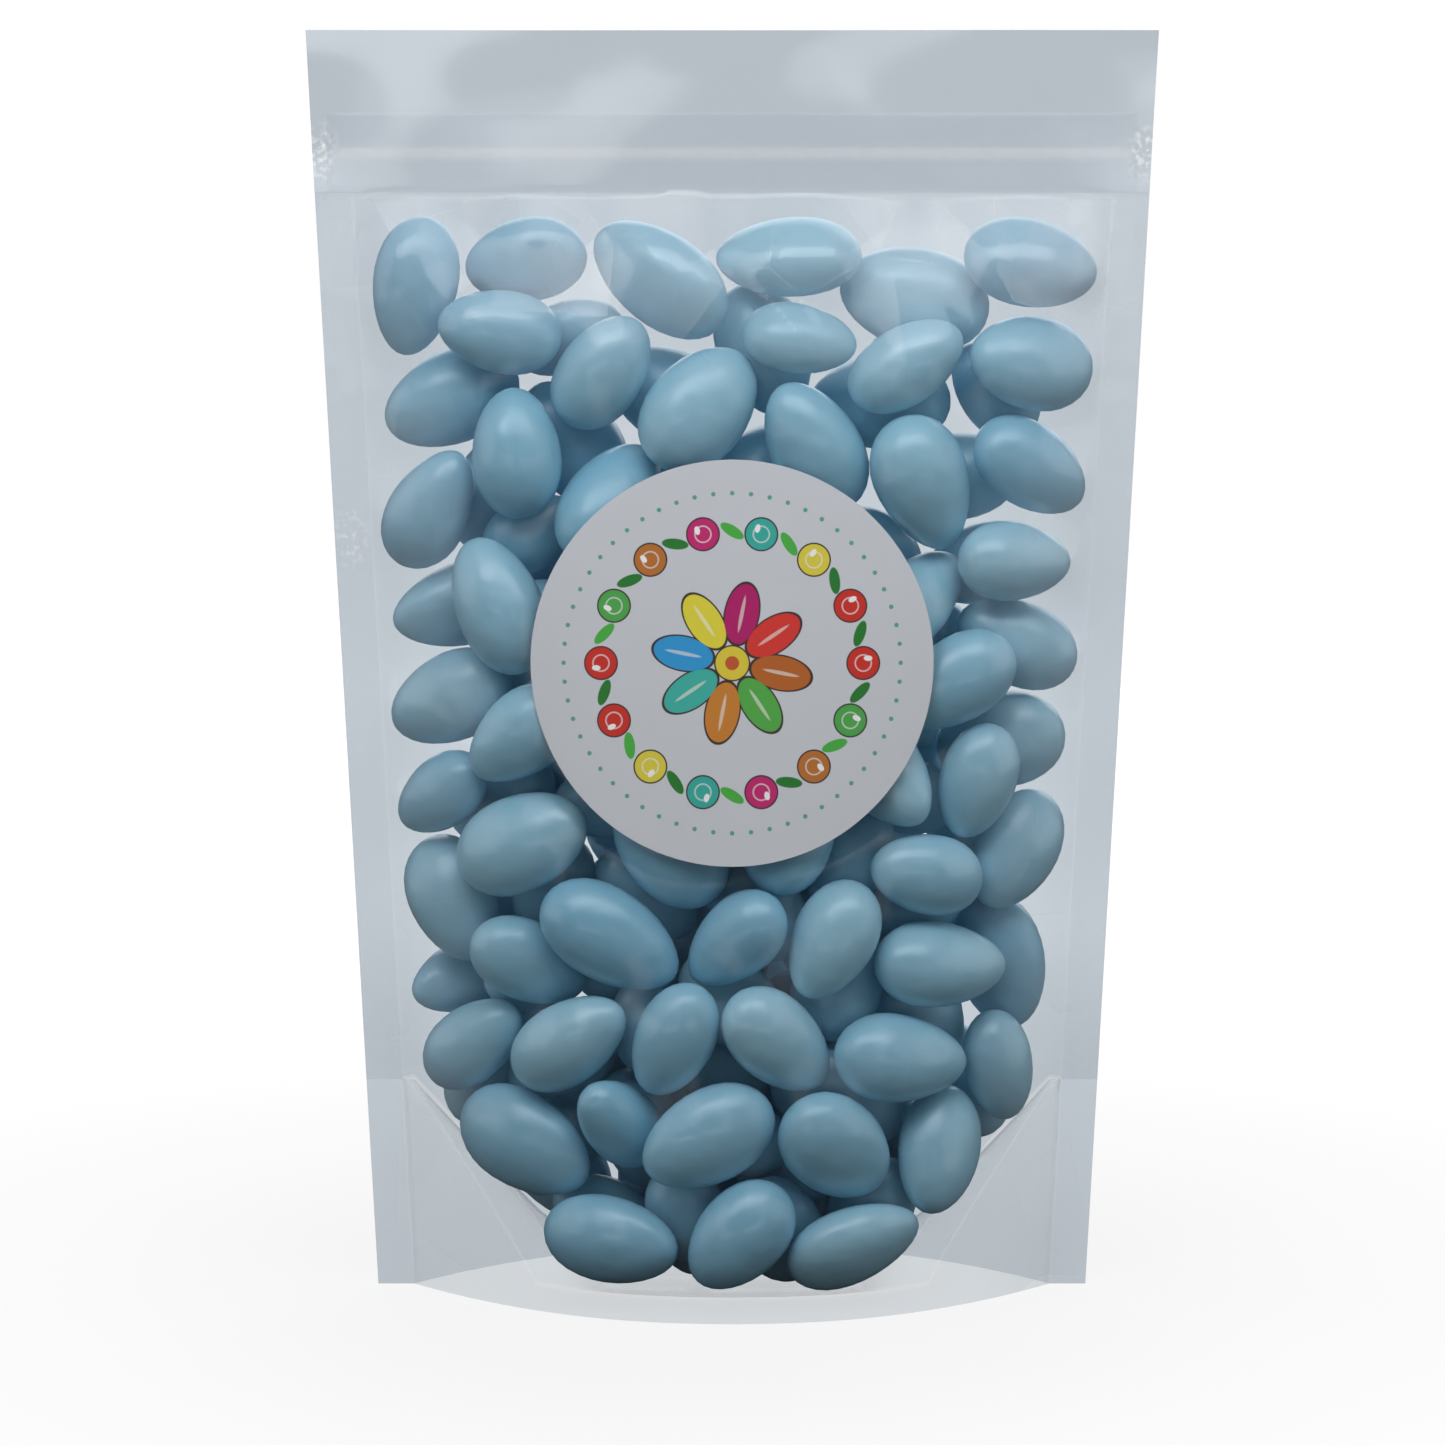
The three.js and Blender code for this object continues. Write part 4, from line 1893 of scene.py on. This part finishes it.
@dataclass
class Zip:
    """The press-to-close zip: a band on each face of the header with a rib, crushed at its ends."""

    film: Film
    finish: ZipPlastic
    middle: float = 217 * MM
    band_height: float = 15 * MM
    band_half: float = 0.45 * MM
    edge_half: float = 0.22 * MM
    rib_height: float = 3.0 * MM
    rib_half: float = 0.60 * MM
    end_gap: float = 2.4 * MM
    crushed: float = 3 * MM
    merge_within: float = 0.001 * MM
    stations: int = 240

    def build(self) -> bpy.types.Object:
        """Builds the zip.

        Returns:
            The piece.
        """
        form = self.film.form
        half = float(form.half_width(self.middle - self.band_height / 2)) - self.end_gap
        heights, depths, ribs = self._profile()
        x = np.linspace(-half, half, self.stations + 1)
        count = len(heights)
        crush = smooth(half - np.abs(x), 0.0, self.crushed)
        points, marks = [], []
        for place, whole in zip(x, crush):
            z = self.middle + heights
            wave = self.film.wave(np.full(count, place), z)
            depth = np.sign(depths) * blend(self.edge_half, np.abs(depths), whole)
            points.append(np.stack([np.full(count, place), form.seam_y + wave + depth, z], -1))
            marks.append(ribs * whole)
        faces = tube_faces(self.stations + 1, count)
        faces.append(tuple(range(count - 1, -1, -1)))
        faces.append(tuple(self.stations * count + k for k in range(count)))
        piece = new_piece("zip", np.concatenate(points), faces, self.finish.build())
        close_and_face_out(piece, self.merge_within)
        piece.data.set_sharp_from_angle(angle=RIM_ANGLE)
        rib = piece.data.attributes.new("rib", "FLOAT", "POINT")
        rib.data.foreach_set("value", np.concatenate(marks).astype(np.float32))
        return piece

    def _profile(self) -> tuple[Array, Array, Array]:
        """Works out the zip's section.

        Returns:
            The heights from the middle, the depths from the seam plane, and how much of a rib
            each of the section's points is, once round.
        """
        band, rib = self.band_height / 2, self.rib_height / 2
        share = np.linspace(-1, 1, 17)
        swell = (1 + np.cos(math.pi * share)) / 2
        rib_heights = rib * share
        rib_depths = self.band_half + (self.rib_half - self.band_half) * swell
        edge = self.edge_half
        thinning = np.array([0.0, 0.4, 1.0, 1.6]) * MM
        edge_depths = blend(edge, self.band_half, np.array([0.0, 0.6, 0.9, 1.0]))
        heights = np.concatenate([thinning - band, rib_heights, band - thinning[::-1]])
        depths = np.concatenate([edge_depths, rib_depths, edge_depths[::-1]])
        quiet = np.zeros(len(thinning))
        ribs = np.concatenate([quiet, swell**0.5, quiet])
        return (
            np.concatenate([heights, heights[::-1]]),
            np.concatenate([-depths, depths[::-1]]),
            np.concatenate([ribs, ribs[::-1]]),
        )


@dataclass
class Sticker:
    """The round sticker, pressed onto the front panel."""

    film: Film
    finish: StickerPaper
    gap: float = 0.06 * MM
    thickness: float = 0.22 * MM
    rings: int = 28
    spokes: int = 128

    def build(self) -> bpy.types.Object:
        """Builds the sticker.

        Returns:
            The piece.
        """
        place = self.film.form.sticker
        radii = place.radius * np.linspace(0, 1, self.rings + 1)[1:]
        turn = np.linspace(0, 2 * math.pi, self.spokes, endpoint=False)
        x = np.concatenate([[0.0], (radii[:, None] * np.cos(turn)).ravel()])
        z = np.concatenate([[0.0], (radii[:, None] * np.sin(turn)).ravel()])
        depth = self.film.depth_at(x + place.x, z + place.z, Face.FRONT)
        count = len(x)
        layers = []
        for rise in (self.gap + self.thickness, self.gap):
            y = self.film.form.seam_y - (depth + rise)
            layers.append(np.stack([x + place.x, y, z + place.z], -1))
        front = turned_over(fan_faces(0, self.spokes, 1) + tube_faces(self.rings, self.spokes, 1))
        faces = front + [tuple(count + corner for corner in face[::-1]) for face in front]
        rim = 1 + (self.rings - 1) * self.spokes
        for spoke in range(self.spokes):
            beside = (spoke + 1) % self.spokes
            faces.append((rim + spoke, count + rim + spoke, count + rim + beside, rim + beside))
        piece = new_piece("sticker", np.concatenate(layers), faces, self.finish.build())
        piece.data.set_sharp_from_angle(angle=RIM_ANGLE)
        chart = piece.data.uv_layers.new(name="flat")
        corners = np.zeros(len(piece.data.loops), np.int32)
        piece.data.loops.foreach_get("vertex_index", corners)
        flat = np.stack([np.tile(x, 2), np.tile(z, 2)], -1) / (2 * place.radius) + 0.5
        chart.data.foreach_set("uv", flat[corners].astype(np.float32).ravel())
        return piece


@dataclass(frozen=True)
class Softbox:
    """A soft light that faces a point and glows evenly."""

    name: str
    place: tuple[float, float, float]
    size: tuple[float, float]
    glow: float
    aim: tuple[float, float, float] = (0.0, 0.0, 0.12)
    colour: Colour = (1.0, 1.0, 1.0)

    def build(self) -> None:
        """Adds the light."""
        lamp = bpy.data.lights.new(self.name, "AREA")
        lamp.shape = "RECTANGLE"
        lamp.size, lamp.size_y = self.size
        lamp.energy = self.glow * math.pi * self.size[0] * self.size[1]
        lamp.color = self.colour
        light = bpy.data.objects.new(self.name, lamp)
        direction = Vector(self.aim) - Vector(self.place)
        turn = direction.to_track_quat("-Z", "Y").to_matrix().to_4x4()
        light.matrix_world = Matrix.Translation(self.place) @ turn
        bpy.context.scene.collection.objects.link(light)


@dataclass
class Studio:
    """The pale floor, the soft lights and the camera."""

    floor_radius: float = 12.0
    floor_sides: int = 64
    floor_tone: float = 0.10
    floor_grain: float = 0.05
    near_glow: float = 0.84
    far_glow: float = 1.0
    glow_start: float = 0.08
    glow_full: float = 0.40
    world_strength: float = 0.05
    distance: float = 1.25
    elevation: float = math.radians(8.0)
    lens: float = 163.8
    sensor_width: float = 36.0
    aim: tuple[float, float, float] = (-0.0018, 0.0, 0.109)

    def build(self) -> None:
        """Builds the floor, the lights and the camera."""
        self._floor()
        for light in (
            Softbox("top softbox", (-0.08, -0.36, 0.88), (1.35, 0.95), 0.5),
            Softbox("near strip", (0.02, -0.25, 0.42), (0.50, 0.16), 3.5),
            Softbox("front softbox", (-0.55, -1.00, 0.95), (0.50, 0.40), 2.0),
            Softbox("back softbox", (0.15, 0.85, 0.60), (1.2, 0.8), 2.6),
            Softbox("left wall", (-1.10, -0.15, 0.45), (1.5, 1.0), 0.95),
            Softbox("right wall", (1.10, -0.15, 0.45), (1.5, 1.0), 1.05),
            Softbox("left card", (-0.45, -1.25, 0.15), (0.70, 0.14), 1.6, (-0.45, 0.0, 0.15)),
            Softbox("right card", (0.50, -1.25, 0.15), (0.70, 0.14), 1.4, (0.50, 0.0, 0.15)),
        ):
            light.build()
        scene = bpy.context.scene
        scene.world = self._air()
        scene.view_settings.view_transform = "Standard"
        self._camera(scene)

    def _air(self) -> bpy.types.World:
        """Makes the air round the studio: white to look at, and a faint light on things.

        Returns:
            The world.
        """
        graph = Graph(bpy.data.worlds.new("studio air"))
        strength = graph.seen() * (1 - self.world_strength) + self.world_strength
        return graph.finish(graph.add("ShaderNodeBackground", {}, {"Color": WHITE, "Strength": strength}))

    def _floor(self) -> None:
        """Makes the round floor, pale near the pouch and white further out."""
        turn = np.linspace(0, 2 * math.pi, self.floor_sides, endpoint=False)
        points = self.floor_radius * np.stack([np.cos(turn), np.sin(turn), np.zeros(len(turn))], -1)
        graph = Graph(bpy.data.materials.new("studio paper"))
        grain = graph.noise(graph.place(), self.floor_grain, detail=2.0)
        tone = graph.mix(grain, (self.floor_tone,) * 3, (self.floor_tone * 0.99,) * 3)
        across, along, _ = graph.axes(graph.place())
        far = (across * across + along * along) ** 0.5
        span = self.glow_full - self.glow_start
        rise = ((far - self.glow_start) / span).clamped()
        glow = (rise * (self.far_glow - self.near_glow) + self.near_glow) * graph.seen()
        matte = graph.add("ShaderNodeBsdfDiffuse", values={"Color": tone})
        lit = graph.add("ShaderNodeEmission", values={"Strength": glow})
        paper = graph.finish(graph.add("ShaderNodeAddShader", {}, {0: matte, 1: lit}))
        floor = new_piece("floor", points, [tuple(range(self.floor_sides))], paper)
        floor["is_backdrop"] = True

    def _camera(self, scene: bpy.types.Scene) -> None:
        """Adds the camera at the photograph's angle.

        Args:
            scene: The scene that it belongs to.
        """
        data = bpy.data.cameras.new("camera")
        data.lens = self.lens
        data.sensor_width = self.sensor_width
        data.sensor_fit = "HORIZONTAL"
        camera = bpy.data.objects.new("camera", data)
        away = Vector((0.0, -math.cos(self.elevation), math.sin(self.elevation)))
        aim = Vector(self.aim)
        turn = (-away).to_track_quat("-Z", "Y").to_matrix().to_4x4()
        camera.matrix_world = Matrix.Translation(aim + away * self.distance) @ turn
        scene.collection.objects.link(camera)
        scene.camera = camera


def gusset_film(form: PouchForm) -> ClearFilm:
    """Returns the finish of the gusset, a single clean layer inside the pouch."""
    return ClearFilm(
        form,
        name="gusset film",
        tint=(0.97, 0.975, 0.98),
        flat_tint=(0.985, 0.985, 0.99),
        haze=0.0,
        seal_haze=0.0,
        line_haze=0.0,
        side_painted_reflection=0.0,
        facing_gloss=0.02,
        flat_gloss=0.02,
        edge_gloss=0.35,
        crumpled=False,
        top_painted_sheen=0.0,
        rib_painted_highlight=0.0,
        line_brightness=0.0,
    )


def seam_plane(node: bpy.types.Object) -> float:
    """Finds the pouch's seam plane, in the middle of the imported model's top edge.

    Args:
        node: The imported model's pouch.

    Returns:
        The plane's Y.
    """
    points = points_of(node.data)
    top = points[:, 2] > points[:, 2].max() - 0.01 * MM
    return float(points[top, 1].mean())


def dress(piece: bpy.types.Object, slot: Slot, *nodes: str) -> None:
    """Lets a piece ride on the body, hides the imported nodes that it stands for, and logs its size.

    Args:
        piece: The piece.
        slot: Its material slot; not used.
        nodes: The nodes' names.
    """
    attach(piece, BODY)
    if nodes:
        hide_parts(*nodes)
    low = [min(corner[i] for corner in piece.bound_box) / MM for i in range(3)]
    high = [max(corner[i] for corner in piece.bound_box) / MM for i in range(3)]
    triangles = sum(len(p.vertices) - 2 for p in piece.data.polygons)
    log.info("%s: %d triangles, %s to %s mm", piece.name, triangles, np.round(low, 1), np.round(high, 1))


def main() -> None:
    """Builds the pouch, piece by piece, and its studio."""
    logging.basicConfig(level=logging.INFO, format="%(message)s")
    low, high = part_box("pouch")
    label_low, label_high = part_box("label")
    place = StickerPlace(
        x=(label_low.x + label_high.x) / 2,
        z=(label_low.z + label_high.z) / 2,
        radius=(label_high.x - label_low.x) / 2,
    )
    form = PouchForm(
        top_width=high.x - low.x,
        height=high.z,
        seam_y=seam_plane(frame["nodes"]["pouch"]),
        sticker=place,
    )
    fill = AlmondFill(form)
    fill.settle()
    film = Film(form, fill, ClearFilm(form), gusset_film(form))
    dress(film.build(), Slot.FILM, "pouch")
    dress(Almonds(fill, SugarShell()).build(), Slot.FILM, "pouch")
    dress(Zip(film, ZipPlastic()).build(), Slot.FILM)
    dress(Sticker(film, StickerPaper(place.radius)).build(), Slot.LABEL, "label")
    Studio().build()
    boxes = {"cad": CAD_BOUNDS, "visual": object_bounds()}
    {name: [list(corner) for corner in box] for name, box in boxes.items()}


if __name__ == "__main__":
    main()
